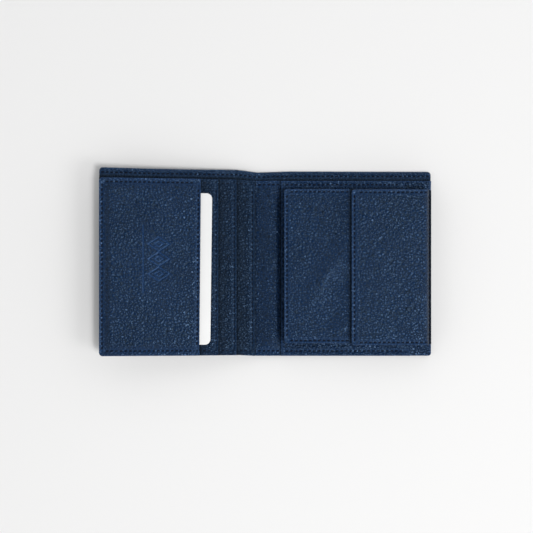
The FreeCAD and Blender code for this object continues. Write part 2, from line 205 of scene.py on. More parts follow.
def bump(value, start, end):
    """A round hill from start to end, 1 in the middle."""
    share = np.clip((np.asarray(value, float) - start) / (end - start), 0, 1)
    return np.sin(np.pi * share) ** 2


def turned(x, z, pivot, share):
    """x and z after a share of the open wallet's tilt about the line along Y through pivot."""
    across, up = x - pivot[0], z - pivot[1]
    cosine, sine = np.cos(OPEN_TILT * share), np.sin(OPEN_TILT * share)
    return pivot[0] + across * cosine + up * sine, pivot[1] - across * sine + up * cosine


def fold_place(joint):
    """Where a joint's fold line stands, across and up, in millimetres."""
    x, _, z = JOINTS[joint]["pos_m"]
    return x / MM, z / MM


RIGHT_FOLD = fold_place("spine_fold")
LEFT_FOLD = turned(*fold_place("left_fold"), RIGHT_FOLD, -1)


def stand(points, body):
    """Points of the flat drawing where they stand; body "fold" bends smoothly over both fold lines."""
    x, y, z = points.T
    if body == "fold":
        reach = bpy.context.scene.wallet_shape.fold_reach / MM
        left_share = smooth(x, LEFT_FOLD[0] + reach, LEFT_FOLD[0] - reach)
        right_share = smooth(x, RIGHT_FOLD[0] + reach, RIGHT_FOLD[0] - reach)
    else:
        left_share = float(TURNS[body] == 2)
        right_share = float(TURNS[body] > 0)
    x, z = turned(x, z, LEFT_FOLD, left_share)
    x, z = turned(x, z, RIGHT_FOLD, right_share)
    return np.column_stack([x, y, z])


def flat_box(node):
    """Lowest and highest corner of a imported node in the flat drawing, in millimetres."""
    item = frame["nodes"][node]
    x, y, z = np.array([vertex.co for vertex in item.data.vertices]).T / MM
    turns = TURNS[item["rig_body"]]
    if turns:
        x, z = turned(x, z, RIGHT_FOLD, -1)
    if turns == 2:
        x, z = turned(x, z, LEFT_FOLD, -1)
    return (x.min(), y.min(), z.min()), (x.max(), y.max(), z.max())


def middle(box, axis):
    """The middle of a box along one axis."""
    return (box[0][axis] + box[1][axis]) / 2


COVER_RIGHT = flat_box("cover_right")
COVER_LEFT = flat_box("cover_left")
RIGHT_END = COVER_RIGHT[1][0]
LEFT_END = COVER_LEFT[0][0]
BOTTOM = COVER_RIGHT[0][1]
TOP = COVER_RIGHT[1][1]
HEM_START = flat_box("cover_lining_right")[1][1]
PANEL_TOP = flat_box("inner_panel_right")[1][1]
TAB_SEAM = flat_box("flap_seam_stitching")
HALF_THREAD = (TAB_SEAM[1][0] - TAB_SEAM[0][0]) / 2
HEM_SEAM = flat_box("hem_stitching_spine")[0][1] + HALF_THREAD
PANEL_SEAM_LOW = flat_box("panel_stitching_spine")[0][1] + HALF_THREAD
PANEL_SEAM_HIGH = flat_box("panel_stitching_spine")[1][1] - HALF_THREAD


def leaning(x):
    """How far the left half is drawn up along Y: the hand-folded spine is a little out of square."""
    return smooth(x, -4, -17) * (0.55 + 0.005 * np.maximum(-x - 17, 0))


def square_up(x, y):
    """The plan of the left half, with its slight lean."""
    return x, y + leaning(x)


def mouth_lift(x, y):
    """The layers stand a little off the cover along the open top of the note compartment."""
    return 0.45 * smooth(y, PANEL_TOP - 6, PANEL_TOP) + 0 * x


def swell(x, y, seed, length, height):
    """The gentle unevenness of soft leather: a few crossing waves of about one length."""
    draw = np.random.default_rng(seed)
    total = np.zeros(np.shape(x))
    waves = 6
    for _ in range(waves):
        angle, phase = draw.uniform(0, 2 * np.pi, 2)
        wave = length * draw.uniform(0.7, 1.6)
        total = total + np.sin((x * np.cos(angle) + y * np.sin(angle)) * 2 * np.pi / wave + phase)
    return height * total / math.sqrt(waves)


def ridge(x, y, start, end, width, height):
    """A soft crease that stands up along the line from start to end and dies away at its ends."""
    along = np.array(end, float) - start
    length = np.hypot(*along)
    along = along / length
    run = (x - start[0]) * along[0] + (y - start[1]) * along[1]
    across = (y - start[1]) * along[0] - (x - start[0]) * along[1]
    return height * np.exp(-((across / width) ** 2)) * bump(run, -0.15 * length, 1.15 * length)


# ------------------------------------------------------------------ shared effects of the materials


def new_group(name, inputs, outputs):
    """An empty shader node group with its named sockets, and its input and output nodes."""
    group = bpy.data.node_groups.new(name, "ShaderNodeTree")
    for label, kind, default in inputs:
        socket = group.interface.new_socket(label, in_out="INPUT", socket_type=kind)
        if default is not None:
            socket.default_value = default
    for label, kind in outputs:
        group.interface.new_socket(label, in_out="OUTPUT", socket_type=kind)
    return group, group.nodes.new("NodeGroupInput"), group.nodes.new("NodeGroupOutput")


def node(tree, kind, inputs=(), **settings):
    """A node with its settings, and each input given as a value or as the socket that feeds it."""
    made = tree.nodes.new(kind)
    for key, value in settings.items():
        setattr(made, key, value)
    for key, value in dict(inputs).items():
        if isinstance(value, bpy.types.NodeSocket):
            tree.links.new(value, made.inputs[key])
        else:
            made.inputs[key].default_value = value
    return made


def math_node(tree, operation, first, second=0.0):
    """The result of one sum on two numbers or sockets."""
    return node(tree, "ShaderNodeMath", {0: first, 1: second}, operation=operation).outputs[0]


def remap(tree, value, low, high, to_low=0.0, to_high=1.0):
    """value from low to high, eased to the span from to_low to to_high."""
    inputs = {"Value": value, "From Min": low, "From Max": high, "To Min": to_low, "To Max": to_high}
    return node(tree, "ShaderNodeMapRange", inputs, interpolation_type="SMOOTHSTEP").outputs["Result"]


def grain_group():
    """Pebbled leather: round pebbles, creases between them, fine pores, and broad uneven dye."""
    name = "Pebbled grain"
    if name in bpy.data.node_groups:
        return bpy.data.node_groups[name]
    group, given, out = new_group(
        name,
        [("Place", "NodeSocketVector", None), ("Pebble", "NodeSocketFloat", 0.0013)],
        [("Height", "NodeSocketFloat"), ("Crease", "NodeSocketFloat"), ("Patch", "NodeSocketFloat")],
    )
    per_pebble = math_node(group, "DIVIDE", 1.0, given.outputs["Pebble"])
    place = node(group, "ShaderNodeVectorMath", {0: given.outputs["Place"], "Scale": per_pebble},
                 operation="SCALE").outputs[0]
    drift = node(group, "ShaderNodeTexNoise", {"Vector": place, "Scale": 0.45, "Detail": 2.0})
    centred = node(group, "ShaderNodeVectorMath", {0: drift.outputs["Color"], 1: (0.5, 0.5, 0.5)},
                   operation="SUBTRACT").outputs[0]
    pushed = node(group, "ShaderNodeVectorMath", {0: centred, "Scale": 0.9},
                  operation="SCALE").outputs[0]
    bent = node(group, "ShaderNodeVectorMath", {0: place, 1: pushed}, operation="ADD").outputs[0]
    pebbles = node(group, "ShaderNodeTexVoronoi",
                   {"Vector": bent, "Scale": 1.0, "Smoothness": 0.35, "Randomness": 0.95},
                   feature="SMOOTH_F1")
    gaps = node(group, "ShaderNodeTexVoronoi", {"Vector": bent, "Scale": 1.0, "Randomness": 0.95},
                feature="DISTANCE_TO_EDGE")
    small = node(group, "ShaderNodeTexVoronoi", {"Vector": bent, "Scale": 2.3, "Randomness": 1.0},
                 feature="F1")
    pores = node(group, "ShaderNodeTexNoise", {"Vector": place, "Scale": 5.0, "Detail": 4.0})
    broad = node(group, "ShaderNodeTexNoise", {"Vector": place, "Scale": 0.055, "Detail": 3.0})
    mixed = node(group, "ShaderNodeTexNoise", {"Vector": place, "Scale": 0.16, "Detail": 2.0})
    tilts = node(group, "ShaderNodeTexNoise", {"Vector": place, "Scale": 0.8, "Detail": 1.0})
    dome = remap(group, pebbles.outputs["Distance"], 0.66, 0.18)
    crease = remap(group, gaps.outputs["Distance"], 0.17, 0.0)
    tops = math_node(group, "MULTIPLY", dome, 0.42)
    sunk = math_node(group, "MULTIPLY", crease, -0.26)
    beads = math_node(group, "MULTIPLY", small.outputs["Distance"], -0.05)
    tilted = math_node(group, "MULTIPLY", tilts.outputs["Fac"], 0.6)
    pitted = math_node(group, "ADD", tilted, math_node(group, "MULTIPLY", pores.outputs["Fac"], 0.02))
    height = math_node(group, "ADD", math_node(group, "ADD", tops, sunk),
                       math_node(group, "ADD", beads, pitted))
    fullness = remap(group, mixed.outputs["Fac"], 0.3, 0.7, 0.75, 1.05)
    group.links.new(math_node(group, "MULTIPLY", height, fullness), out.inputs["Height"])
    group.links.new(crease, out.inputs["Crease"])
    group.links.new(remap(group, broad.outputs["Fac"], 0.3, 0.7), out.inputs["Patch"])
    return group


def wear_and_light_group():
    """Edges and seams: a dark painted edge, a painted highlight line inside it (partly burnish), and
    painted shade in seam grooves and beside other layers.
    """
    name = "Edge and seam wear"
    if name in bpy.data.node_groups:
        return bpy.data.node_groups[name]
    group, given, out = new_group(
        name,
        [("Place", "NodeSocketVector", None), ("Near edge", "NodeSocketFloat", 0.0),
         ("Pressed", "NodeSocketFloat", 0.0), ("Rubbed", "NodeSocketFloat", 0.0)],
        [("Dark", "NodeSocketFloat"), ("Burnish", "NodeSocketFloat")],
    )
    rub = node(group, "ShaderNodeTexNoise",
               {"Vector": given.outputs["Place"], "Scale": 420.0, "Detail": 3.0})
    edge = given.outputs["Near edge"]
    painted = math_node(group, "MULTIPLY", remap(group, edge, 0.95, 1.0), 0.6)
    # Painted highlight: a lighter line just inside each edge, where a turned edge catches the light.
    rubbed = math_node(group, "MULTIPLY", remap(group, edge, 0.66, 0.84),
                       remap(group, edge, 0.98, 0.93))
    patchy = remap(group, rub.outputs["Fac"], 0.3, 0.7, 0.35, 1.0)
    # The dark output: real edge paint, and the painted shade given by the second mask.
    group.links.new(math_node(group, "MAXIMUM", painted, given.outputs["Pressed"]),
                    out.inputs["Dark"])
    # The light output: the painted highlight inside edges, and the painted highlight given by the last
    # mask.
    worn = math_node(group, "MAXIMUM", math_node(group, "MULTIPLY", rubbed, patchy),
                     given.outputs["Rubbed"])
    group.links.new(worn, out.inputs["Burnish"])
    return group


def weave_group():
    """Close plain weave: crossing rows of thread as a height, and the gaps between them."""
    name = "Plain weave"
    if name in bpy.data.node_groups:
        return bpy.data.node_groups[name]
    group, given, out = new_group(
        name,
        [("Place", "NodeSocketVector", None), ("Threads", "NodeSocketFloat", 2600.0)],
        [("Height", "NodeSocketFloat"), ("Shade", "NodeSocketFloat")],
    )
    rows = []
    for direction in ("X", "Y"):
        rows.append(node(group, "ShaderNodeTexWave",
                         {"Vector": given.outputs["Place"], "Scale": given.outputs["Threads"],
                          "Distortion": 0.4},
                         wave_type="BANDS", bands_direction=direction).outputs["Fac"])
    woven = math_node(group, "MAXIMUM", *rows)
    worn = node(group, "ShaderNodeTexNoise",
                {"Vector": given.outputs["Place"], "Scale": 160.0, "Detail": 3.0})
    group.links.new(woven, out.inputs["Height"])
    group.links.new(remap(group, worn.outputs["Fac"], 0.3, 0.7), out.inputs["Shade"])
    return group


def new_material(name):
    """A new material's nodes, its shader, and the piece's own flat place to draw patterns on."""
    material = bpy.data.materials.new(name)
    material.use_nodes = True
    tree = material.node_tree
    shader = next(item for item in tree.nodes if item.type == "BSDF_PRINCIPLED")
    place = node(tree, "ShaderNodeAttribute", attribute_name="flat_place").outputs["Vector"]
    return tree, shader, place


def tinted(colour, amount):
    """A colour made lighter or darker, with its alpha."""
    return (*[channel * amount for channel in colour], 1.0)


def colour_mix(tree, share, first, second):
    """Two colours mixed by share, each a value or the socket that feeds it."""
    mix = tree.nodes.new("ShaderNodeMix")
    mix.data_type = "RGBA"
    for socket, value in zip((mix.inputs[0], mix.inputs[6], mix.inputs[7]), (share, first, second)):
        if isinstance(value, bpy.types.NodeSocket):
            tree.links.new(value, socket)
        else:
            socket.default_value = value
    return mix.outputs[2]


def emboss(tree, shader, height, distance):
    """Turns a height over the surface into the small relief that the light shows."""
    surface = node(tree, "ShaderNodeBump", {"Height": height, "Distance": distance})
    tree.links.new(surface.outputs[0], shader.inputs["Normal"])


def leather(name, colour, roughness=(0.16, 0.4), relief=1.0, pebble=1.0, gloss=0.5):
    """Dyed pebbled leather: painted shade in its creases, a painted highlight along its edges and seams,
    painted shade in seam grooves and beside other layers, satin all over.
    """
    tuning = bpy.context.scene.wallet_leather
    tree, shader, place = new_material(name)
    grain = node(tree, "ShaderNodeGroup", node_tree=grain_group())
    tree.links.new(place, grain.inputs["Place"])
    grain.inputs["Pebble"].default_value = tuning.pebble * pebble
    # The group gives the edge paint, the painted highlight and the painted shade.
    wear = node(tree, "ShaderNodeGroup", node_tree=wear_and_light_group())
    tree.links.new(place, wear.inputs["Place"])
    # Masks: nearness to the edge, painted shade, and painted highlight.
    for attribute, socket in (("near_edge", "Near edge"), ("pressed", "Pressed"), ("rubbed", "Rubbed")):
        mask = node(tree, "ShaderNodeAttribute", attribute_name=attribute)
        tree.links.new(mask.outputs["Fac"], wear.inputs[socket])
    tops = colour_mix(tree, grain.outputs["Patch"], tinted(colour, 1.15), tinted(colour, 1.45))
    # Painted shade: the colour falls to 0.15 of the dye in the grain's creases.
    share = remap(tree, grain.outputs["Crease"], 0.9, 0.1)
    crease_shaded = colour_mix(tree, share, tinted(colour, 0.15), tops)
    # Painted highlight along edges, between stitches and on the ornament, partly burnish.
    rubbed = colour_mix(tree, wear.outputs["Burnish"], crease_shaded, tinted(colour, 2.4))
    # Dark edge paint, and painted shade in seam grooves and beside other layers.
    edged_and_shaded = colour_mix(tree, wear.outputs["Dark"], rubbed, tinted(colour, 0.08))
    tree.links.new(edged_and_shaded, shader.inputs["Base Color"])
    shine = remap(tree, grain.outputs["Crease"], 0.0, 1.0, roughness[0], roughness[1])
    duller = math_node(tree, "ADD", shine, math_node(tree, "MULTIPLY", grain.outputs["Patch"], 0.06))
    matt = math_node(tree, "MULTIPLY", wear.outputs["Dark"], 0.45)
    tree.links.new(math_node(tree, "ADD", duller, matt), shader.inputs["Roughness"])
    pressed = node(tree, "ShaderNodeAttribute", attribute_name="flattened").outputs["Fac"]
    height = math_node(tree, "MULTIPLY", grain.outputs["Height"],
                       remap(tree, pressed, 0.0, 1.0, 1.0, 0.15))
    emboss(tree, shader, height, tuning.relief * relief)
    shader.inputs["Specular IOR Level"].default_value = gloss
    shader.inputs["Specular Tint"].default_value = (*tuning.sheen_tint, 1.0)


def cloth(name, colour):
    """Woven lining: fine crossing threads, a little faded in places."""
    tree, shader, place = new_material(name)
    weave = node(tree, "ShaderNodeGroup", node_tree=weave_group())
    tree.links.new(place, weave.inputs["Place"])
    faded = colour_mix(tree, weave.outputs["Shade"], tinted(colour, 0.8), tinted(colour, 1.3))
    threads = colour_mix(tree, weave.outputs["Height"], tinted(colour, 0.5), faded)
    tree.links.new(threads, shader.inputs["Base Color"])
    shader.inputs["Roughness"].default_value = 0.85
    shader.inputs["Sheen Weight"].default_value = 0.2
    emboss(tree, shader, weave.outputs["Height"], 0.00005)


def thread(name, colour):
    """Bonded polyester thread: twisted strands with a slight sheen."""
    tree, shader, place = new_material(name)
    twist = node(tree, "ShaderNodeTexWave", {"Vector": place, "Scale": 900.0, "Distortion": 1.0},
                 wave_type="BANDS", bands_direction="DIAGONAL")
    strands = colour_mix(tree, twist.outputs["Fac"], tinted(colour, 0.7), tinted(colour, 1.5))
    tree.links.new(strands, shader.inputs["Base Color"])
    shader.inputs["Roughness"].default_value = 0.55
    shader.inputs["Specular IOR Level"].default_value = 0.1
    emboss(tree, shader, twist.outputs["Fac"], 0.00004)


def plastic(name, colour):
    """Laminated card: smooth, with the faintest unevenness of its print."""
    tree, shader, place = new_material(name)
    cloud = node(tree, "ShaderNodeTexNoise", {"Vector": place, "Scale": 60.0, "Detail": 2.0})
    printed = colour_mix(tree, cloud.outputs["Fac"], tinted(colour, 0.98), tinted(colour, 1.02))
    tree.links.new(printed, shader.inputs["Base Color"])
    matt = remap(tree, cloud.outputs["Fac"], 0.3, 0.7, 0.34, 0.42)
    tree.links.new(matt, shader.inputs["Roughness"])
    peel = node(tree, "ShaderNodeTexNoise", {"Vector": place, "Scale": 900.0, "Detail": 2.0})
    emboss(tree, shader, peel.outputs["Fac"], 0.00001)


def fibre_board(name, colour):
    """Hidden stiffening board: pressed fibres."""
    tree, shader, place = new_material(name)
    fibre = node(tree, "ShaderNodeTexNoise", {"Vector": place, "Scale": 700.0, "Detail": 5.0})
    pressed = colour_mix(tree, fibre.outputs["Fac"], tinted(colour, 0.8), tinted(colour, 1.15))
    tree.links.new(pressed, shader.inputs["Base Color"])
    shader.inputs["Roughness"].default_value = 0.9
    emboss(tree, shader, fibre.outputs["Fac"], 0.00005)


def plated(name, colour):
    """Plated stud metal: brushed in rings by wear, with darker spots."""
    tree, shader, _ = new_material(name)
    place = node(tree, "ShaderNodeTexCoord").outputs["Object"]
    spots = node(tree, "ShaderNodeTexNoise", {"Vector": place, "Scale": 900.0, "Detail": 4.0})
    tarnish = colour_mix(tree, spots.outputs["Fac"], tinted(colour, 0.75), tinted(colour, 1.1))
    tree.links.new(tarnish, shader.inputs["Base Color"])
    shader.inputs["Metallic"].default_value = 1.0
    rubbed = remap(tree, spots.outputs["Fac"], 0.35, 0.65, 0.24, 0.42)
    tree.links.new(rubbed, shader.inputs["Roughness"])
    emboss(tree, shader, spots.outputs["Fac"], 0.00002)


FINISHES = {
    "cover_leather": ("Cover leather", leather, "cover_colour", {"gloss": 0.48}),
    "inner_leather": ("Pocket leather", leather, "inner_colour", {}),
    "strip_leather": ("Strip leather", leather, "strip_colour", {"gloss": 0.36}),
    "lining_leather": ("Skived leather", leather, "strip_colour",
                       {"roughness": (0.6, 0.75), "relief": 0.35, "pebble": 0.5}),
    "lining_cloth": ("Lining cloth", cloth, "cloth_colour", {}),
    "thread": ("Sewing thread", thread, "thread_colour", {}),
    "board": ("Stiffening board", fibre_board, "board_colour", {}),
    "stud_metal": ("Plated stud", plated, "metal_colour", {}),
    "card_plastic": ("Blank card", plastic, "card_colour", {}),
}


def finish_for(finish):
    """The material of a finish, made once: most finishes are called after the record's slot."""
    name, make, colour, settings = FINISHES[finish]
    if name not in bpy.data.materials:
        make(name, getattr(bpy.context.scene.wallet_leather, colour), **settings)
    return bpy.data.materials[name]


# ------------------------------------------------------------------ meshes


def make_piece(name, points, faces, body, slot, finish=None, masks=None, places=None):
    """A smooth-shaded piece from points of the flat drawing in millimetres, stood up with its body."""
    mesh = bpy.data.meshes.new(name)
    mesh.from_pydata((stand(points, body) * MM).tolist(), [], faces)
    flat = mesh.attributes.new("flat_place", "FLOAT_VECTOR", "POINT")
    flat.data.foreach_set("vector", ((points if places is None else places) * MM).ravel())
    for label, values in (masks or {}).items():
        mask = mesh.attributes.new(label, "FLOAT", "POINT")
        mask.data.foreach_set("value", np.asarray(values, float).ravel())
    mesh.polygons.foreach_set("use_smooth", [True] * len(mesh.polygons))
    mesh.set_sharp_from_angle(angle=SHARP_FOLD)
    mesh.materials.append(finish_for(finish or slot))
    mesh.validate()
    mesh.update()
    piece = bpy.data.objects.new(name, mesh)
    bpy.context.scene.collection.objects.link(piece)
    return piece


class Seam:
    """A straight run of stitches: the axis it follows, its place on the other axis, and its ends."""

    def __init__(self, along, at, start, end):
        self.along = along
        self.at = at
        self.start, self.end = sorted((start, end))


def two_rows(start, end):
    """The panel's two long seams, at its top and at its bottom, over one stretch."""
    return [Seam("x", PANEL_SEAM_HIGH, start, end), Seam("x", PANEL_SEAM_LOW, start, end)]


def grooves(x, y, seams, part="groove"):
    """From 0 to 1: the groove of each seam, deepest at the needle holes; or its holes; or its sides."""
    sewing = bpy.context.scene.wallet_sewing
    pitch, width = sewing.pitch / MM, sewing.groove_width / MM
    total = np.zeros(np.shape(x))
    for seam in seams:
        run, across = (x, y) if seam.along == "x" else (y, x)
        inside = smooth(run, seam.start - pitch / 2, seam.start)
        inside = inside * smooth(run, seam.end + pitch / 2, seam.end)
        holes = np.cos(np.pi * run / pitch) ** 2
        holes = {"groove": 0.5 + 0.5 * holes, "holes": smooth(holes, 0.45, 0.85), "beside": 1}[part]
        spread = {"groove": width, "holes": 0.8 * width, "beside": 1.8 * width}[part]
        total = np.maximum(total, inside * holes * np.exp(-(((across - seam.at) / spread) ** 2)))
    return total


def marks(low, high, step, special):
    """Grid lines from low to high: a shared even lattice, with special places kept exactly."""
    kept = [low, high]
    for place in sorted(special):
        if low < place < high and min(abs(place - other) for other in kept) > 0.04:
            kept.append(place)
    lattice = np.arange(math.ceil(low / step), math.floor(high / step) + 1) * step
    even = [place for place in lattice if min(abs(place - other) for other in kept) > 0.3 * step]
    return np.array(sorted(kept + even))


EDGE_ROUNDNESS = 0.46
FAR = 1e3
TINY = 1e-9
EDGE_REACH = 3


class Panel:
    """A cut layer, drawn lying flat in millimetres: outline, faces, rounded edges, corners and seams.

    x and y are its spans, low the height of its underside and thick its thickness, a number or a
    function of x and y. rise lifts the top, and the underside too where follow is set. Sides named
    in straight are cut square because another piece carries on there. corners names the rounded
    ones as pairs of -1 and 1.
    """

    def __init__(self, x, y, low, thick, rise=None, follow=False, seams=(), under_seams=(),
                 straight=(), corners=(), radius=0.0, roundness=EDGE_ROUNDNESS, plan=None, hole=None,
                 coarse_y=None, fine=(), carve=None, painted_shade=None):
        self.x, self.y = sorted(x), sorted(y)
        self.low = low
        self.thick = thick if callable(thick) else (lambda x, y: thick + 0 * x)
        self.rise = rise or (lambda x, y: 0 * x)
        self.follow = follow
        self.seams = list(seams)
        self.under_seams = list(under_seams)
        self.straight = straight
        self.corners = corners
        self.radius = radius
        self.roundness = roundness
        self.plan = plan or (lambda x, y: (x, y))
        self.hole = hole
        self.coarse_y = coarse_y
        self.fine = fine
        self.carve = carve
        # A function from 0 to 1: painted shade that darkens the upper face's colour where shadow falls.
        self.painted_shade = painted_shade or (lambda x, y: 0 * x)

    def top(self, x, y):
        """Height of the upper face."""
        return self.low + self.thick(x, y) + self.rise(x, y)

    def bottom(self, x, y):
        """Height of the underside."""
        return self.low + (self.rise(x, y) if self.follow else 0 * x)

    def lines(self, axis):
        """The grid lines across one axis: closer round the edges, beside seams and round a hole."""
        span = self.x if axis == "x" else self.y
        thickness = np.mean(self.thick(np.array(self.x, float), np.array(self.y, float)))
        depth = self.roundness * float(thickness)
        turns = depth * (1 - np.cos(np.radians([20, 40, 60, 90])))
        special = [span[0] + turn for turn in turns] + [span[1] - turn for turn in turns]
        for seam in self.seams + self.under_seams:
            if seam.along != axis:
                special += [seam.at + offset for offset in (-1.1, -0.7, -0.35, 0, 0.35, 0.7, 1.1)]
        if self.hole:
            centre = self.hole[0] if axis == "x" else self.hole[1]
            special = [centre - self.hole[2], centre + self.hole[2]]
        step = bpy.context.scene.wallet_sewing.pitch / MM / 4
        for where, low, high, finer in self.fine:
            if where == axis:
                special += list(np.arange(low, high, finer))
        found = marks(span[0], span[1], step, special)
        if axis == "y" and self.coarse_y:
            low, high = self.coarse_y
            kept = [place for i, place in enumerate(found) if not low < place < high or i % 5 == 0]
            found = np.array(kept)
        return found

    def edge_distance(self, x, y):
        """How far a point lies from the nearest side that isn't cut square."""
        sides = {
            "left": x - self.x[0], "right": self.x[1] - x,
            "bottom": y - self.y[0], "top": self.y[1] - y,
        }
        free = [distance for side, distance in sides.items() if side not in self.straight]
        return np.minimum.reduce(free) if free else np.full(np.shape(x), FAR)

    def rounded_plan(self, x, y):
        """Moves the grid so that squares become quarter discs at the corners and a disc at the hole."""
        x, y = x.copy(), y.copy()
        for side_x, side_y in self.corners:
            centre_x = (self.x[0] if side_x < 0 else self.x[1]) - side_x * self.radius
            centre_y = (self.y[0] if side_y < 0 else self.y[1]) - side_y * self.radius
            out_x, out_y = (x - centre_x) * side_x, (y - centre_y) * side_y
            inside = (out_x > 1e-6) & (out_y > 1e-6)
            scale = np.where(inside, np.maximum(out_x, out_y) / np.hypot(out_x, out_y).clip(TINY), 1)
            x = np.where(inside, centre_x + side_x * out_x * scale, x)
            y = np.where(inside, centre_y + side_y * out_y * scale, y)
        if self.hole:
            centre_x, centre_y, radius = self.hole
            out_x, out_y = x - centre_x, y - centre_y
            square = np.maximum(abs(out_x), abs(out_y))
            scale = square / np.hypot(out_x, out_y).clip(TINY)
            share = 1 - smooth(square, radius, 2 * radius)
            scale = 1 + (scale - 1) * share
            x, y = centre_x + out_x * scale, centre_y + out_y * scale
        return x, y

    def upper_masks(self, x, y, near_edge, pulled, carved):
        """Masks of the upper face, each from 0 to 1: nearness to its edge, painted shade, flattened grain
        and painted highlight.
        """
        holes = grooves(x, y, self.seams, "holes")
        beside = grooves(x, y, self.seams, "beside")
        return {
            "near_edge": near_edge.ravel(),
            # Painted shade in the seam grooves, less at the gaps between stitches, plus the panel's own
            # painted shade.
            "pressed": np.clip(0.75 * pulled - 0.9 * holes + self.painted_shade(x, y), 0, 1).ravel(),
            "flattened": np.maximum(0.8 * beside, carved).ravel(),
            # Painted highlight on the ornament's lines, between stitches and beside the seams.
            "rubbed": np.maximum(0.9 * carved, 0.75 * np.maximum(holes, beside - pulled)).ravel(),
        }

    def lower_masks(self, x, y, near_edge, pulled):
        """The same for the underside, which has its own seams: painted shade only in their grooves, with no
        painted contact shadows and no painted highlight.
        """
        return {
            "near_edge": near_edge.ravel(),
            # Painted shade in the underside's seam grooves.
            "pressed": 0.5 * pulled.ravel(),
            "flattened": 0.8 * grooves(x, y, self.under_seams, "beside").ravel(),
            "rubbed": 0 * pulled.ravel(),
        }

    def build(self, name, body, slot, finish=None):
        """The closed mesh of the panel as a piece."""
        depth = bpy.context.scene.wallet_sewing.groove_depth / MM
        lines_x, lines_y = self.lines("x"), self.lines("y")
        grid_x, grid_y = np.meshgrid(lines_x, lines_y, indexing="ij")
        distance = self.edge_distance(grid_x, grid_y)
        x, y = self.rounded_plan(grid_x, grid_y)
        thickness = self.thick(x, y)
        turn = self.roundness * thickness
        inset = np.minimum(distance, turn)
        drop = turn - np.sqrt(np.maximum(turn**2 - (turn - inset) ** 2, 0))
        pulled = grooves(x, y, self.seams)
        carved = self.carve(x, y) if self.carve else 0 * x
        emboss = bpy.context.scene.wallet_shape.emboss_depth / MM
        top = self.top(x, y) - drop - depth * pulled - emboss * carved
        columns, rows = grid_x.shape
        index = np.arange(columns * rows).reshape(columns, rows)
        faces = np.stack([index[:-1, :-1], index[1:, :-1], index[1:, 1:], index[:-1, 1:]], -1)
        ring = np.concatenate([index[:-1, 0], index[-1, :-1], index[:0:-1, -1], index[0, :0:-1]])
        if self.hole:
            faces, hole_ring = self.cut_hole(faces, lines_x, lines_y, index)
        faces = faces.reshape(-1, 4)
        points = np.column_stack([x.ravel(), y.ravel(), top.ravel()])
        near_edge = 1 - np.clip(distance / EDGE_REACH, 0, 1)
        masks = self.upper_masks(x, y, near_edge, pulled, carved)
        count = len(points)
        if self.follow or self.hole:
            pulled_under = grooves(x, y, self.under_seams)
            under = self.bottom(x, y) + drop + depth * pulled_under
            lower_masks = self.lower_masks(x, y, near_edge, pulled_under)
            points = np.vstack([points, np.column_stack([x.ravel(), y.ravel(), under.ravel()])])
            lower = faces[:, ::-1] + count
            side_low = ring + count
            masks = {key: np.concatenate([value, lower_masks[key]]) for key, value in masks.items()}
            all_faces = [faces, lower]
            polygons = []
        else:
            under = self.bottom(x, y).ravel()[ring]
            points = np.vstack([points, np.column_stack([x.ravel()[ring], y.ravel()[ring], under])])
            side_low = np.arange(count, count + len(ring))
            masks = {key: np.concatenate([value, value[ring]]) for key, value in masks.items()}
            all_faces = [faces]
            polygons = [side_low[::-1].tolist()]
        after = np.roll(ring, -1)
        low_after = np.roll(side_low, -1)
        all_faces.append(np.column_stack([side_low, low_after, after, ring]))
        if self.hole:
            next_hole = np.roll(hole_ring, -1)
            all_faces.append(
                np.column_stack([hole_ring, next_hole, next_hole + count, hole_ring + count]))
        places = points.copy()
        points[:, 0], points[:, 1] = self.plan(points[:, 0], points[:, 1])
        faces = np.vstack(all_faces).tolist() + polygons
        return make_piece(name, points, faces, body, slot, finish, masks, places)

    def cut_hole(self, faces, lines_x, lines_y, index):
        """The faces outside the hole, and the grid points round it, turning left."""
        centre_x, centre_y, radius = self.hole
        low_i, high_i = [int(np.argmin(abs(lines_x - centre_x - side * radius))) for side in (-1, 1)]
        low_j, high_j = [int(np.argmin(abs(lines_y - centre_y - side * radius))) for side in (-1, 1)]
        kept = np.ones(faces.shape[:2], bool)
        kept[low_i:high_i, low_j:high_j] = False
        square = index[low_i:high_i + 1, low_j:high_j + 1]
        ring = np.concatenate([square[:-1, 0], square[-1, :-1], square[:0:-1, -1], square[0, :0:-1]])
        return faces[kept], ring

    def sew(self, seams, under=False, seed=1, sunk=0.0):
        """Points, faces and flat places of some seams' stitches, lying in the grooves of this panel."""
        sewing = bpy.context.scene.wallet_sewing
        pitch, radius, depth = sewing.pitch / MM, sewing.thread / MM / 2, sewing.groove_depth / MM
        draw = np.random.default_rng(seed)
        rings = np.array([-1, -0.86, -0.5, 0, 0.5, 0.86, 1])
        sides = np.arange(6) * np.pi / 3
        width = radius * np.sqrt(1 - 0.8 * rings**6)
        dip = -0.75 * radius * np.abs(rings) ** 5
        all_points, all_faces, count = [], [], 0
        for seam in seams:
            first, last = math.ceil(seam.start / pitch), math.floor(seam.end / pitch)
            middles = (np.arange(first, last) + 0.5) * pitch
            if not len(middles):
                continue
            slant = np.radians(7 + draw.uniform(-3, 3, len(middles)))[:, None, None]
            run = rings[None, :, None] * pitch * 0.33 + 0 * slant
            around = width[None, :, None] * np.cos(sides)[None, None, :]
            along = middles[:, None, None] + run * np.cos(slant) - around * np.sin(slant)
            across = seam.at + draw.uniform(-0.04, 0.04, len(middles))[:, None, None]
            across = across + run * np.sin(slant) + around * np.cos(slant)
            x, y = (along, across) if seam.along == "x" else (across, along)
            lift = dip[None, :, None] + 0.85 * width[None, :, None] * np.sin(sides)[None, None, :]
            if under:
                z = self.bottom(x, y) + 0.7 * depth - 0.5 * radius - lift
                z = np.maximum(z, self.bottom(x, y) + 0.03)
            else:
                z = self.top(x, y) - 0.7 * depth + 0.5 * radius + lift - sunk
            points = np.stack(np.broadcast_arrays(x, y, z), -1)
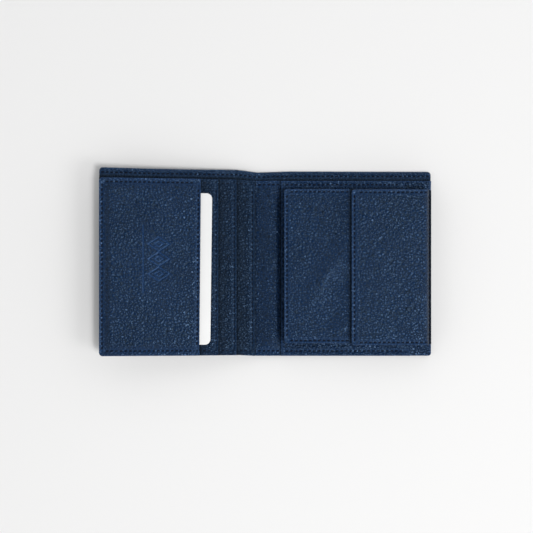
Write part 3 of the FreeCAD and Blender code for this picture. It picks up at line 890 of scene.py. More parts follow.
            each = len(rings) * len(sides)
            grid = np.arange(each).reshape(len(rings), len(sides))
            turned_grid = np.roll(grid, -1, 1)
            quads = np.stack([grid[:-1], turned_grid[:-1], turned_grid[1:], grid[1:]], -1).reshape(-1, 4)
            flips = (seam.along == "y") != under
            for number in range(len(middles)):
                start = count + number * each
                caps = [(grid[0, ::-1] + start).tolist(), (grid[-1] + start).tolist()]
                block = (quads + start).tolist() + caps
                all_faces += [face[::-1] for face in block] if flips else block
            all_points.append(points.reshape(-1, 3))
            count += len(middles) * each
        points = np.vstack(all_points)
        places = points.copy()
        points[:, 0], points[:, 1] = self.plan(points[:, 0], points[:, 1])
        return points, all_faces, places


def stitch_piece(name, body, *rows):
    """One piece from several rows of stitches, each as Panel.sew gives them."""
    points, faces, places, count = [], [], [], 0
    for row_points, row_faces, row_places in rows:
        points.append(row_points)
        places.append(row_places)
        faces += [[corner + count for corner in face] for face in row_faces]
        count += len(row_points)
    return make_piece(name, np.vstack(points), faces, body, "thread", places=np.vstack(places))


# ------------------------------------------------------------------ the layers, from the flat drawing


TOP_WAVE_X = (-94, -70, -45, -17, -4.5, 13, 60, 94)
TOP_WAVE_UP = (0.7, 0.35, 0.2, 0.35, -0.45, 0.2, 0.05, 0.0)


def top_edge(x):
    """How far the cover's top edge stands above its cut line: it dips at the spine."""
    return np.interp(x, TOP_WAVE_X, TOP_WAVE_UP)


def cover_plan(x, y):
    """The cover leans with the left half, and its top edge waves."""
    return x, y + leaning(x) + top_edge(x) * smooth(y, 22, TOP)


def flat_leather():
    """Thickness of the cover's single leather: up to the underside of the spine's lining."""
    return flat_box("cover_lining_spine")[0][2]


def inner_side(half):
    """The side of a half that meets the other half in the middle of the spine."""
    return ("left",) if half == "right" else ("right",)


def cover_panel(half):
    """Half of the cover's leather, up to the middle of the fold."""
    end = RIGHT_END if half == "right" else LEFT_END
    outward = 1 if half == "right" else -1
    edge_seam = end - outward * 1.4
    single = flat_leather()
    doubled = COVER_RIGHT[1][2]
    return Panel(
        (0, end), (BOTTOM, TOP), 0.0,
        lambda x, y: single + (doubled - single) * smooth(y, HEM_START - 0.3, HEM_START + 0.3)
        + 0.3 * bump(y, HEM_SEAM - 0.4, TOP + 0.6),
        follow=True,
        seams=[Seam("x", HEM_SEAM, 0, end)],
        under_seams=[Seam("x", HEM_SEAM, 0, end), Seam("x", PANEL_SEAM_LOW, 0, end),
                     Seam("y", edge_seam, BOTTOM + 2, TOP - 2)],
        straight=inner_side(half),
        corners=[(outward, -1), (outward, 1)], radius=2.0,
        # Painted shade: the cover darkens from under the hem seam down to the inner panel's top edge, in
        # the note compartment's mouth.
        plan=cover_plan, painted_shade=lambda x, y: 0.95 * smooth(y, HEM_SEAM - 0.5, PANEL_TOP + 0.3),
        coarse_y=(BOTTOM + 5, HEM_START - 2),
    )


def lining_panel(half):
    """Half of the note compartment's cloth, tucked under the turned hem."""
    end = RIGHT_END if half == "right" else LEFT_END
    low, high = flat_box(f"cover_lining_{half}")
    margin = 1.2
    return Panel(
        (0, end - math.copysign(margin, end)), (BOTTOM + margin, HEM_START + 1.0),
        low[2], high[2] - low[2] - 0.04,
        rise=lambda x, y: -0.25 * smooth(y, HEM_START - 1, HEM_START + 0.4), follow=True,
        straight=inner_side(half), plan=cover_plan, coarse_y=(BOTTOM + 5, HEM_START - 5),
    )


def spine_swell(x, y):
    """The inner panel buckles up between the pockets, highest near the coin pocket."""
    height = bpy.context.scene.wallet_shape.spine_swell / MM
    profile = smooth(x, -6.2, 3.2) * smooth(x, 8.6, 5.4)
    sewn_down = 0.12 + 0.88 * smooth(y, BOTTOM + 1.0, BOTTOM + 11)
    eased = 1 - 0.12 * smooth(y, PANEL_TOP - 12, PANEL_TOP)
    buckle = height * profile * sewn_down * eased + swell(x, y, 11, 19, 0.10) * bump(x, -7, 9)
    return buckle + mouth_lift(x, y)


SLOT_EDGE = flat_box("slot_4_leather")[1][0]
SLOT_STEP = SLOT_EDGE - flat_box("slot_3_leather")[1][0]


PANEL_NODES = {"right": "inner_panel_right", "left": "pocket_base"}


def inner_panel(half):
    """Half of the inner panel, from the middle of the fold: the spine's share and what it lies on."""
    low, high = flat_box(PANEL_NODES[half])
    end = high[0] if half == "right" else low[0]
    outward = 1 if half == "right" else -1
    spine_low, spine_high = flat_box("inner_panel_spine")
    thin, thick = spine_high[2] - spine_low[2], high[2] - low[2]
    return Panel(
        (0, end), (BOTTOM, PANEL_TOP), low[2],
        lambda x, y: thin + (thick - thin) * smooth(x, 5, 9),
        rise=spine_swell, follow=True,
        seams=two_rows(0, 8 * outward),
        straight=inner_side(half),
        corners=[(outward, -1)], radius=1.6, plan=square_up,
        # Painted shadow beside the nearest card pocket's mouth, and painted shade in the crevice by the
        # coin pocket.
        painted_shade=lambda x, y: 0.95 * np.maximum(smooth(x, SLOT_EDGE + 1.2, SLOT_EDGE), bump(x, 6.8, 10.4)),
    )


def pocket_panel(number):
    """A stepped card pocket's leather strip, with its turned and stitched mouth."""
    low, high = flat_box(f"slot_{number}_leather")
    mouth = flat_box(f"slot_{number}_stitching")
    seam_x = middle(mouth, 0)
    hidden_end = high[0] - 13
    waves, lift = {2: (0.02, 0.03), 3: (0.055, 0.25), 4: (0.055, 0.35)}[number]
    return Panel(
        (low[0], high[0]), (BOTTOM, PANEL_TOP), low[2], high[2] - low[2],
        rise=lambda x, y: swell(x, y, 20 + number, 17, waves) - 0.06
        + lift * smooth(x, high[0] - 4, high[0]) + mouth_lift(x, y), follow=True,
        seams=[Seam("y", seam_x, PANEL_SEAM_LOW + 1.5, PANEL_SEAM_HIGH - 1),
               *two_rows(hidden_end, seam_x - 1)],
        plan=square_up,
        # Painted shadow beside the mouth of the strip above, and painted shade darkening the strip towards
        # it.
        painted_shade=lambda x, y: 0.5 * smooth(x, high[0] - SLOT_STEP + 1.5, high[0] - SLOT_STEP)
        + 0.45 * smooth(x, high[0] - 3, high[0] - SLOT_STEP),
    )


FRONT = flat_box("front_pocket")
FRONT_SEAM = flat_box("front_pocket_stitching")
EDGE_SEAM = flat_box("edge_stitching_left")


def front_swell(x, y):
    """The front pocket lies high over the card and low along its three sewn sides."""
    drop = bpy.context.scene.wallet_shape.rim_drop / MM
    outer = smooth(x, FRONT[0][0] + 2.8, FRONT[0][0] + 6.0)
    lower = smooth(y, BOTTOM + 3.2, BOTTOM + 6.4)
    upper = smooth(y, PANEL_TOP - 2.4, PANEL_TOP - 6.2)
    plateau = outer * lower * upper
    waves = swell(x, y, 31, 26, 0.09) + swell(x, y, 32, 11, 0.035)
    sag = -0.12 * bump(x, FRONT[0][0] + 10, FRONT[1][0] - 2) * bump(y, BOTTOM + 10, PANEL_TOP - 8)
    return -drop * (1 - plateau) + plateau * (waves + sag) + mouth_lift(x, y)


def front_plan(x, y):
    """The mouth leans a little, wider at the top."""
    lean = 0.5 * y / TOP * smooth(x, FRONT[1][0] - 30, FRONT[1][0])
    return x + lean, y + leaning(x)


def lozenge(x, y, centre, half_width, half_height):
    """Signed distance from a lozenge's outline, positive inside."""
    ratio = math.hypot(half_width, half_height)
    inside = 1 - abs(x - centre[0]) / half_width - abs(y - centre[1]) / half_height
    return inside * half_width * half_height / ratio


ORNAMENT = (middle(FRONT, 0) + 5.1, 1.8)


def ornament(x, y):
    """A pressed mark: three nested lozenges in a column, beside one long fine line."""
    total = np.zeros(np.shape(x))
    for step in (-1, 0, 1):
        centre = (ORNAMENT[0], ORNAMENT[1] + 8.4 * step)
        for half_width, half_height in ((6.0, 3.9), (2.4, 1.55)):
            line = lozenge(x, y, centre, half_width, half_height)
            total = np.maximum(total, np.exp(-((line / 0.5) ** 4)))
    beside = np.exp(-(((x - ORNAMENT[0] + 8.8) / 0.45) ** 4))
    return np.maximum(total, beside * smooth(abs(y - ORNAMENT[1]), 19.6, 19.0))


def front_panel():
    """The front pocket's leather, with its ornament and its seams."""
    outer_seam = EDGE_SEAM[0][0] + HALF_THREAD
    mouth_seam = middle(FRONT_SEAM, 0)
    return Panel(
        (FRONT[0][0], FRONT[1][0]), (BOTTOM, PANEL_TOP), FRONT[0][2], FRONT[1][2] - FRONT[0][2],
        rise=front_swell, follow=True,
        seams=[Seam("y", outer_seam, PANEL_SEAM_LOW, PANEL_SEAM_HIGH),
               *two_rows(outer_seam, mouth_seam - 1),
               Seam("y", mouth_seam, PANEL_SEAM_LOW + 1.5, PANEL_SEAM_HIGH - 1)],
        corners=[(-1, -1), (-1, 1)], radius=2.0, plan=front_plan, carve=ornament,
        # Painted shade along the slope of the sewn outer rim.
        painted_shade=lambda x, y: 0.35 * bump(x, FRONT[0][0] + 2, FRONT[0][0] + 7.5),
        fine=[("x", ORNAMENT[0] - 9.6, ORNAMENT[0] + 6.6, 0.26),
              ("y", ORNAMENT[1] - 13, ORNAMENT[1] + 13, 0.26)],
    )


SLIP = flat_box("slip_pocket")


def slip_panel():
    """The slip pocket behind the coin pocket; its mouth slants."""
    slant = 3.2

    def slanted(x, y):
        """The plan with the mouth drawn back towards the top."""
        share = (x - SLIP[0][0]) / (SLIP[1][0] - SLIP[0][0])
        height = (y - BOTTOM) / (PANEL_TOP - BOTTOM)
        return x - slant * height * share**4, y

    mouth_seam = SLIP[1][0] - 1.5
    return Panel(
        (SLIP[0][0], SLIP[1][0]), (BOTTOM, PANEL_TOP), SLIP[0][2], SLIP[1][2] - SLIP[0][2],
        rise=lambda x, y: swell(x, y, 41, 15, 0.04) + mouth_lift(x, y), follow=True,
        seams=two_rows(SLIP[0][0] + 1.5, mouth_seam),
        plan=slanted,
    )


COIN = flat_box("coin_pocket_front")
COIN_SEAM = flat_box("coin_stitching")
FLAP = flat_box("coin_flap_leather")
FLAP_SEAM = flat_box("flap_stitching")
TAB = flat_box("flap_seam_tab")
FLAP_UNDER = flat_box("stud_socket")[1][2] + 0.04
FLAP_BEND = TAB[0][0] + 0.2


def coin_swell(x, y):
    """The coin pocket's front: soft, with a long slanting crease and a raised rim."""
    rim_x = smooth(x, COIN[0][0] + 3.2, COIN[0][0] + 0.8)
    rim_low = smooth(y, COIN[0][1] + 3.2, COIN[0][1] + 0.8)
    rim_high = smooth(y, COIN[1][1] - 3.2, COIN[1][1] - 0.8)
    under_flap = smooth(x, FLAP[0][0] + 2.5, FLAP[0][0] - 3)
    crease = ridge(x, y, (20, -26), (49, 15), 4.9, 1.5)
    crease = crease + ridge(x, y, (33, -46), (49, -28), 4.5, 1.0)
    hollow = -0.3 * bump(x, COIN[0][0] + 3, FLAP[0][0] + 8) * bump(y, 2, COIN[1][1] - 1)
    waves = swell(x, y, 51, 20, 0.06)
    body = under_flap * (crease + hollow) + waves
    rim = np.maximum.reduce([rim_x, rim_low, rim_high])
    return np.clip(body + 0.12 * rim - 0.05, -0.5, 1.4)


def flap_shade(x):
    """From 0 to 1: a painted shadow, the dark line on the coin pocket beside the closed flap's edge."""
    return smooth(x, FLAP[0][0] - 1.9, FLAP[0][0] - 0.3) * smooth(x, FLAP[0][0] + 3, FLAP[0][0] + 1)


def coin_panel():
    """The coin pocket's front, sewn along three sides."""
    seam_x = COIN_SEAM[0][0] + HALF_THREAD
    low_seam, high_seam = COIN_SEAM[0][1] + HALF_THREAD, COIN_SEAM[1][1] - HALF_THREAD
    return Panel(
        (COIN[0][0], COIN[1][0]), (COIN[0][1], COIN[1][1]), COIN[0][2], COIN[1][2] - COIN[0][2],
        rise=coin_swell, follow=True,
        seams=[Seam("y", seam_x, low_seam, high_seam),
               Seam("x", low_seam, seam_x, COIN[1][0] - 1),
               Seam("x", high_seam, seam_x, COIN[1][0] - 1)],
        corners=[(-1, -1), (-1, 1)], radius=1.6,
        # Painted shadow of the closed flap's edge.
        painted_shade=lambda x, y: flap_shade(x),
    )



def flap_fall(x):
    """How far the flap has come down at x: level over the pocket, then a rounded slope to its seam."""
    total = FLAP[1][2] - TAB[1][2] - 0.2
    start = COIN[1][0] + 0.5
    share = np.clip((x - start) / (TAB[0][0] + 0.35 - start), 0, 1)
    return total * (1 - np.sqrt(1 - share**16))


def flap_swell(x, y):
    """The flap's leather: soft waves, a fuller middle, and fine slanting wrinkles by its seam."""
    lower_half = smooth(y, 2, -24) * smooth(y, FLAP[0][1] + 1, FLAP[0][1] + 6)
    wrinkled = bump(x, FLAP_BEND - 22, FLAP_BEND) * lower_half
    folds = np.sin(((x - 80) * 0.78 - (y + 30) * 0.62) * 2 * np.pi / 4.6)
    crown = 0.16 * bump(x, FLAP[0][0] - 4, FLAP_BEND) * bump(y, FLAP[0][1] - 3, FLAP[1][1] + 3)
    level = smooth(x, RIGHT_END, RIGHT_END - 6)
    return level * (crown + swell(x, y, 61, 23, 0.07) + 0.10 * wrinkled * folds) - flap_fall(x)


def flap_panel():
    """The flap's leather in one piece with the tab that is sewn to the wallet's edge."""
    seam_x = FLAP_SEAM[0][0] + HALF_THREAD
    low_seam, high_seam = FLAP_SEAM[0][1] + HALF_THREAD, FLAP_SEAM[1][1] - HALF_THREAD
    return Panel(
        (FLAP[0][0], TAB[1][0]), (FLAP[0][1], FLAP[1][1]), FLAP_UNDER,
        lambda x, y: FLAP[1][2] - FLAP_UNDER - 0.1 * smooth(x, FLAP_BEND - 4, FLAP_BEND),
        rise=flap_swell, follow=True,
        seams=[Seam("y", seam_x, low_seam, high_seam),
               Seam("x", low_seam, seam_x, TAB[0][0] - 0.5),
               Seam("x", high_seam, seam_x, TAB[0][0] - 0.5),
               Seam("y", middle(TAB_SEAM, 0), low_seam, high_seam)],
        corners=[(-1, -1), (-1, 1)], radius=1.6,
        # Painted shade over the foot of the flap's roll and its tab, up to the wallet's edge, darkening the
        # light its steep slope catches.
        painted_shade=lambda x, y: 0.9 * smooth(x, TAB[0][0] - 1.5, TAB[0][0] - 0.5)
        * smooth(x, RIGHT_END + 0.4, RIGHT_END - 0.2),
    )


# ------------------------------------------------------------------ operators, one for each group of pieces


class WalletOperator:
    """What all the wallet's operators share: they can be undone"""

    bl_options = {"REGISTER", "UNDO"}


HALVES = {"right": ("right_half", "spine"), "left": ("spine", "left_half")}


def fold_over(piece, half, *nodes):
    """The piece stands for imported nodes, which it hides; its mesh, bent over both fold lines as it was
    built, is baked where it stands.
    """
    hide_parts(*nodes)
    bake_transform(piece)


def settle(piece, body, *nodes):
    """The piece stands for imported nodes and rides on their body."""
    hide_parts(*nodes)
    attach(piece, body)


class WALLET_OT_cover(WalletOperator, bpy.types.Operator):
    """Cut the cover with its turned hem, and sew its seams"""

    bl_idname = "wallet.cover"
    bl_label = "Cover"

    def execute(self, context):
        for half in HALVES:
            panel = cover_panel(half)
            piece = panel.build(f"cover_{half}_leather", "fold", "cover_leather")
            fold_over(piece, half, f"cover_{half}", "cover_spine")
            stitches = stitch_piece(f"hem_seam_{half}", "fold", panel.sew(panel.seams, seed=2),
                                    panel.sew(panel.under_seams, under=True, seed=3))
            fold_over(stitches, half, f"hem_stitching_{half}", "hem_stitching_spine")
        return {"FINISHED"}


class WALLET_OT_linings(WalletOperator, bpy.types.Operator):
    """Lay the note compartment's cloth lining, and finish the hidden boards"""

    bl_idname = "wallet.linings"
    bl_label = "Cover lining"

    def execute(self, context):
        for half in HALVES:
            piece = lining_panel(half).build(f"note_lining_{half}", "fold", "lining_cloth")
            fold_over(piece, half, f"cover_lining_{half}", "cover_lining_spine")
            board = frame["nodes"][f"stiffener_{half}"]
            board.data.materials.clear()
            board.data.materials.append(finish_for("board"))
        return {"FINISHED"}


class WALLET_OT_inner_panel(WalletOperator, bpy.types.Operator):
    """Lay the inner panel that buckles up over the spine"""

    bl_idname = "wallet.inner_panel"
    bl_label = "Inner panel"

    def execute(self, context):
        for half in HALVES:
            panel = inner_panel(half)
            piece = panel.build(f"inner_leather_{half}", "fold", "inner_leather")
            fold_over(piece, half, PANEL_NODES[half], "inner_panel_spine")
            stitches = stitch_piece(f"spine_seam_{half}", "fold", panel.sew(panel.seams, seed=4))
            fold_over(stitches, half, "panel_stitching_spine")
        return {"FINISHED"}


class WALLET_OT_card_pockets(WalletOperator, bpy.types.Operator):
    """Make the three stepped card pockets with their cloth tails"""

    bl_idname = "wallet.card_pockets"
    bl_label = "Card pockets"

    def execute(self, context):
        for number in (4, 3, 2):
            panel = pocket_panel(number)
            strip = panel.build(f"pocket_strip_{number}", "left_half", "inner_leather", "strip_leather")
            settle(strip, "left_half", f"slot_{number}_leather")
            stitches = stitch_piece(f"pocket_seam_{number}", "left_half",
                                    panel.sew(panel.seams, seed=5 + number, sunk=0.2))
            settle(stitches, "left_half", f"slot_{number}_stitching")
            low, high = flat_box(f"slot_{number}_cloth")
            tail = Panel((low[0], high[0]), (BOTTOM + 0.4, PANEL_TOP - 0.4), low[2] + 0.02,
                         high[2] - low[2] - 0.06,
                         rise=lambda x, y: swell(x, y, 24, 9, 0.02) - 0.02 + mouth_lift(x, y),
                         follow=True, plan=square_up)
            tail = tail.build(f"pocket_tail_{number}", "left_half", "lining_cloth")
            settle(tail, "left_half", f"slot_{number}_cloth")
        return {"FINISHED"}


class WALLET_OT_front_pocket(WalletOperator, bpy.types.Operator):
    """Make the front pocket with its ornament, its lining and its sewn rim"""

    bl_idname = "wallet.front_pocket"
    bl_label = "Front pocket"

    def execute(self, context):
        panel = front_panel()
        pocket = panel.build("front_pocket_leather", "left_half", "inner_leather")
        settle(pocket, "left_half", "front_pocket")
        mouth = stitch_piece("front_mouth_seam", "left_half", panel.sew(panel.seams[3:], seed=9))
        settle(mouth, "left_half", "front_pocket_stitching")
        rim = stitch_piece("front_rim_seam", "left_half", panel.sew(panel.seams[:3], seed=10))
        settle(rim, "left_half", "edge_stitching_left")
        low, high = flat_box("front_pocket_lining")
        lining = Panel((low[0] + 0.5, high[0] - 0.5), (BOTTOM + 0.5, PANEL_TOP - 0.5), low[2] + 0.02,
                       high[2] - low[2] - 0.04, rise=front_swell, follow=True,
                       corners=[(-1, -1), (-1, 1)], radius=2.0, plan=front_plan)
        lining = lining.build("front_lining", "left_half", "lining_cloth")
        settle(lining, "left_half", "front_pocket_lining")
        drop = context.scene.wallet_shape.rim_drop / MM
        for side in ("outer", "upper", "lower"):
            low, high = flat_box(f"pocket_hem_{side}")
            thickness = high[2] - low[2] - drop - 0.06
            corners = [(-1, -1), (-1, 1)] if side == "outer" else []
            hem = Panel((low[0], high[0]), (low[1], high[1]), low[2] + 0.02, thickness,
                        corners=corners, radius=2.0, roundness=min(EDGE_ROUNDNESS, 0.25 / thickness),
                        rise=mouth_lift, follow=True, plan=square_up)
            hem = hem.build(f"rim_filler_{side}", "left_half", "inner_leather")
            settle(hem, "left_half", f"pocket_hem_{side}")
        return {"FINISHED"}


class WALLET_OT_card(WalletOperator, bpy.types.Operator):
    """Make the blank card, with rounded corners and eased edges"""

    bl_idname = "wallet.card"
    bl_label = "Blank card"

    def execute(self, context):
        low, high = box = flat_box("blank_card")
        centre_x, centre_y = middle(box, 0), middle(box, 1)
        cosine, sine = math.cos(CARD_ASKEW), math.sin(CARD_ASKEW)

        def lay(x, y):
            """The card's plan, slid in very slightly askew."""
            return centre_x + x * cosine - y * sine, centre_y + x * sine + y * cosine

        panel = Panel((-CARD_WIDTH / 2, CARD_WIDTH / 2), (-CARD_LENGTH / 2, CARD_LENGTH / 2),
                      low[2], high[2] - low[2], follow=True,
                      corners=[(-1, -1), (-1, 1), (1, -1), (1, 1)], radius=CARD_CORNER,
                      roundness=0.16, plan=lay)
        card = panel.build("card", "card", "card_plastic")
        settle(card, "card", "blank_card")
        return {"FINISHED"}


class WALLET_OT_slip_pocket(WalletOperator, bpy.types.Operator):
    """Make the slip pocket with its slanting mouth"""

    bl_idname = "wallet.slip_pocket"
    bl_label = "Slip pocket"

    def execute(self, context):
        panel = slip_panel()
        pocket = panel.build("slip_pocket_leather", "right_half", "inner_leather")
        settle(pocket, "right_half", "slip_pocket")
        stitches = stitch_piece("slip_seam", "right_half", panel.sew(panel.seams, seed=12))
        settle(stitches, "right_half", "slip_stitching")
        return {"FINISHED"}


def gusset():
    """The coin pocket's folded side wall in one piece: a bellows that runs round three sides."""
    low, high = flat_box("coin_gusset_side")
    bottom, top = low[2] + 0.02, high[2] - 0.02
    inset, thickness, crease, radius = 0.35, 0.55, 1.5, 2.4
    x0, x1 = COIN[0][0] + inset, COIN[1][0] - 0.4
    y0, y1 = COIN[0][1] + inset, COIN[1][1] - inset
    path, normals = [], []

    def side(points, normal):
        """A straight run of the wall."""
        path.extend(points)
        normals.extend([normal] * len(points))

    def corner(centre, start, end):
        """A rounded corner of the wall, from one angle to the other in degrees."""
        for angle in np.radians(np.linspace(start, end, 8)):
            out = np.array([math.cos(angle), math.sin(angle)])
            path.append(tuple(np.array(centre) + radius * out))
            normals.append(tuple(-out))

    side([(x, y0) for x in np.linspace(x1, x0 + radius, 30)[:-1]], (0, 1))
    corner((x0 + radius, y0 + radius), -90, -180)
    side([(x0, y) for y in np.linspace(y0 + radius, y1 - radius, 36)[1:-1]], (1, 0))
    corner((x0 + radius, y1 - radius), 180, 90)
    side([(x, y1) for x in np.linspace(x0 + radius, x1, 30)[1:]], (0, -1))
    path, normals = np.array(path), np.array(normals)
    heights = np.linspace(bottom, top, 13)
    share = (heights - bottom) / (top - bottom)
    fold = crease * (1 - np.abs(2 * share - 1) ** 1.4)
    inner_face = np.column_stack([fold, heights])
    section = np.vstack([inner_face, inner_face[::-1] + (thickness, 0)])
    run = np.arange(len(path))[:, None]
    wobble = 0.16 * np.sin(run * 0.55) + 0.1 * np.sin(run * 0.23 + 1)
    slack = np.sin(np.pi * (section[:, 1] - bottom) / (top - bottom))
    offsets = section[None, :, 0] + wobble * slack[None, :]
    points = np.stack([
        path[:, 0:1] + normals[:, 0:1] * offsets,
        path[:, 1:2] + normals[:, 1:2] * offsets,
        np.broadcast_to(section[:, 1], offsets.shape),
    ], -1)
    rows, columns = offsets.shape
    index = np.arange(rows * columns).reshape(rows, columns)
    following = np.roll(index, -1, 1)
    faces = np.stack([index[:-1], following[:-1], following[1:], index[1:]], -1).reshape(-1, 4).tolist()
    faces += [index[0, ::-1].tolist(), index[-1].tolist()]
    return points.reshape(-1, 3), [face[::-1] for face in faces]


class WALLET_OT_coin_pocket(WalletOperator, bpy.types.Operator):
    """Make the coin pocket: backing, bellows gusset, front and its lining"""

    bl_idname = "wallet.coin_pocket"
    bl_label = "Coin pocket"

    def execute(self, context):
        low, high = flat_box("coin_pocket_backing")
        backing = Panel((low[0], high[0]), (low[1], high[1]), low[2] + 0.06, high[2] - low[2] - 0.08,
                        corners=[(-1, -1), (-1, 1)], radius=1.6,
                        rise=lambda x, y: swell(x, y, 55, 14, 0.02) - 0.02)
        backing = backing.build("coin_backing", "right_half", "lining_leather")
        settle(backing, "right_half", "coin_pocket_backing")
        points, faces = gusset()
        blank = np.zeros(len(points))
        wall = make_piece("coin_gusset", points, faces, "right_half", "inner_leather",
                          masks={"near_edge": blank, "pressed": blank})
        settle(wall, "right_half", "coin_gusset_side", "coin_gusset_upper", "coin_gusset_lower")
        panel = coin_panel()
        front = panel.build("coin_front", "right_half", "inner_leather")
        settle(front, "right_half", "coin_pocket_front")
        stitches = stitch_piece("coin_seam", "right_half", panel.sew(panel.seams, seed=14))
        settle(stitches, "right_half", "coin_stitching")
        low, high = flat_box("coin_front_lining")
        lining = Panel((low[0] + 0.4, high[0] - 0.4), (low[1] + 0.4, high[1] - 0.4), low[2] + 0.02,
                       high[2] - low[2] - 0.04, rise=coin_swell, follow=True,
                       corners=[(-1, -1), (-1, 1)], radius=1.6)
        lining = lining.build("coin_lining", "right_half", "lining_cloth")
        settle(lining, "right_half", "coin_front_lining")
        return {"FINISHED"}


class WALLET_OT_coin_flap(WalletOperator, bpy.types.Operator):
    """Make the coin flap with its seam tab and its skived lining"""

    bl_idname = "wallet.coin_flap"
    bl_label = "Coin flap"

    def execute(self, context):
        panel = flap_panel()

        def hinge(piece, *nodes):
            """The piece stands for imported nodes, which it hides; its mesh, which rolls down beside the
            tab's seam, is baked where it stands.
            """
            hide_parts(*nodes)
            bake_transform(piece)

        flap = panel.build("flap_leather", "right_half", "inner_leather")
        hinge(flap, "coin_flap_leather", "flap_seam_tab")
        stitches = stitch_piece("flap_seam", "right_half", panel.sew(panel.seams[:3], seed=16))
        hinge(stitches, "flap_stitching")
        tab_stitches = stitch_piece("flap_tab_seam", "right_half", panel.sew(panel.seams[3:], seed=17))
        hinge(tab_stitches, "flap_seam_stitching")
        low, high = flat_box("coin_flap_lining")
        socket = flat_box("stud_socket")
        radius = (socket[1][0] - socket[0][0]) / 2
        lining_low = socket[0][2] + 0.12
        lining = Panel((low[0] + 0.3, high[0] - 0.6), (low[1] + 0.3, high[1] - 0.3), lining_low,
                       FLAP_UNDER - lining_low - 0.04,
                       rise=lambda x, y: flap_swell(x, y) * smooth(x, 60, 74), follow=True,
                       hole=(middle(socket, 0), middle(socket, 1), radius + 0.03))
        lining = lining.build("flap_lining", "coin_flap", "lining_leather")
        settle(lining, "coin_flap", "coin_flap_lining")
        return {"FINISHED"}


class WALLET_OT_press_stud(WalletOperator, bpy.types.Operator):
    """Plate the press stud's four metal pieces"""

    bl_idname = "wallet.press_stud"
    bl_label = "Press stud"

    def execute(self, context):
        for name in ("stud_washer", "stud_post", "stud_socket", "stud_cap"):
            mesh = frame["nodes"][name].data
            mesh.materials.clear()
            mesh.materials.append(finish_for("stud_metal"))
            mesh.polygons.foreach_set("use_smooth", [True] * len(mesh.polygons))
            mesh.set_sharp_from_angle(angle=SHARP_METAL)
        return {"FINISHED"}


# ------------------------------------------------------------------ stage


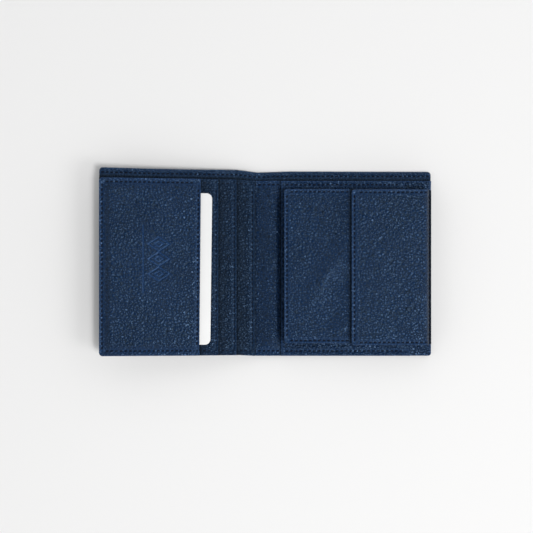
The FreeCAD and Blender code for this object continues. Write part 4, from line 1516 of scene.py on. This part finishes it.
class WALLET_OT_stage(WalletOperator, bpy.types.Operator):
    """Set the pale table, the soft studio light and the camera overhead"""

    bl_idname = "wallet.stage"
    bl_label = "Stage"

    def execute(self, context):
        scene = context.scene
        stage = scene.wallet_stage
        self.table(stage)
        self.room(scene, stage)
        self.lamp("key_light", stage.key_power, stage.key_size, KEY_PLACE)
        self.lamp("spark_light", stage.spark_power, stage.spark_size, UPPER_PLACE)
        lens = bpy.data.cameras.new("camera")
        lens.lens = lens.sensor_width * stage.camera_height / stage.view_width
        lens.clip_start, lens.clip_end = 0.01, 20
        camera = bpy.data.objects.new("camera", lens)
        camera.location = (0, stage.camera_shift, stage.camera_height)
        scene.collection.objects.link(camera)
        scene.camera = camera
        scene.view_settings.view_transform = "Standard"
        return {"FINISHED"}

    def lamp(self, name, power, size, place):
        """A square soft light that faces the wallet."""
        light = bpy.data.lights.new(name, "AREA")
        light.energy = power
        light.size = size
        lamp = bpy.data.objects.new(name, light)
        bpy.context.scene.collection.objects.link(lamp)
        lamp.location = place
        lamp.rotation_mode = "QUATERNION"
        lamp.rotation_quaternion = lamp.location.to_track_quat("Z", "Y")
        lamp.visible_camera = False

    def table(self, stage):
        """A wide round table top, just under the wallet, with a faint mottle."""
        count, reach = 96, 6.0
        gap = 0.00005
        turns = [2 * math.pi * i / count for i in range(count)]
        corners = [(reach * math.cos(turn), reach * math.sin(turn), -gap) for turn in turns]
        mesh = bpy.data.meshes.new("table_top")
        mesh.from_pydata(corners, [], [list(range(count))])
        floor = bpy.data.objects.new("table_top", mesh)
        bpy.context.scene.collection.objects.link(floor)
        material = bpy.data.materials.new("Pale table")
        material.use_nodes = True
        tree = material.node_tree
        shader = next(item for item in tree.nodes if item.type == "BSDF_PRINCIPLED")
        place = node(tree, "ShaderNodeTexCoord").outputs["Object"]
        cloud = node(tree, "ShaderNodeTexNoise", {"Vector": place, "Scale": 3.0, "Detail": 2.0})
        colour = tuple(stage.floor_colour)
        paint = colour_mix(tree, cloud.outputs["Fac"], tinted(colour, 0.99), tinted(colour, 1.01))
        tree.links.new(paint, shader.inputs["Base Color"])
        shader.inputs["Roughness"].default_value = 0.9
        shader.inputs["Specular IOR Level"].default_value = 0.1
        mesh.materials.append(material)

    def room(self, scene, stage):
        """Even white light from all round, weaker overhead."""
        world = bpy.data.worlds.new("studio_room")
        world.use_nodes = True
        tree = world.node_tree
        background = next(item for item in tree.nodes if item.type == "BACKGROUND")
        direction = node(tree, "ShaderNodeTexCoord").outputs["Generated"]
        height = node(tree, "ShaderNodeSeparateXYZ", {0: direction}).outputs["Z"]
        overhead = remap(tree, height, 0.5, 0.88, stage.sky_low, stage.sky_high)
        tree.links.new(overhead, background.inputs["Strength"])
        background.inputs["Color"].default_value = (0.98, 0.99, 1.0, 1.0)
        scene.world = world


# ------------------------------------------------------------------ sidebar, registration and the run

PIECES = (
    WALLET_OT_stage,
    WALLET_OT_cover,
    WALLET_OT_linings,
    WALLET_OT_inner_panel,
    WALLET_OT_card_pockets,
    WALLET_OT_front_pocket,
    WALLET_OT_card,
    WALLET_OT_slip_pocket,
    WALLET_OT_coin_pocket,
    WALLET_OT_coin_flap,
    WALLET_OT_press_stud,
)
SETTINGS = {
    "wallet_leather": WalletLeather,
    "wallet_sewing": WalletSewing,
    "wallet_shape": WalletShape,
    "wallet_stage": WalletStage,
}


class WALLET_PT_sidebar(bpy.types.Panel):
    """The wallet's sizes and colours, and the button for each of its pieces"""

    bl_label = "Wallet"
    bl_idname = "WALLET_PT_sidebar"
    bl_space_type = "VIEW_3D"
    bl_region_type = "UI"
    bl_category = "Wallet"

    def draw(self, context):
        for operator in PIECES:
            self.layout.operator(operator.bl_idname)
        for name in SETTINGS:
            box = self.layout.box()
            settings = getattr(context.scene, name)
            for label in settings.__annotations__:
                box.prop(settings, label)


def register():
    """Adds the settings to the scene, and the operators and the sidebar to Blender."""
    for name, group in SETTINGS.items():
        bpy.utils.register_class(group)
        setattr(bpy.types.Scene, name, bpy.props.PointerProperty(type=group))
    for operator in PIECES:
        bpy.utils.register_class(operator)
    bpy.utils.register_class(WALLET_PT_sidebar)


def unregister():
    """Takes away what register has added, in the opposite order."""
    bpy.utils.unregister_class(WALLET_PT_sidebar)
    for operator in reversed(PIECES):
        bpy.utils.unregister_class(operator)
    for name, group in reversed(SETTINGS.items()):
        delattr(bpy.types.Scene, name)
        bpy.utils.unregister_class(group)


def main():
    """Makes every piece in turn."""
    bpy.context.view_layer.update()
    register()
    for operator in PIECES:
        category, name = operator.bl_idname.split(".")
        getattr(getattr(bpy.ops, category), name)()


if __name__ == "__main__":
    main()
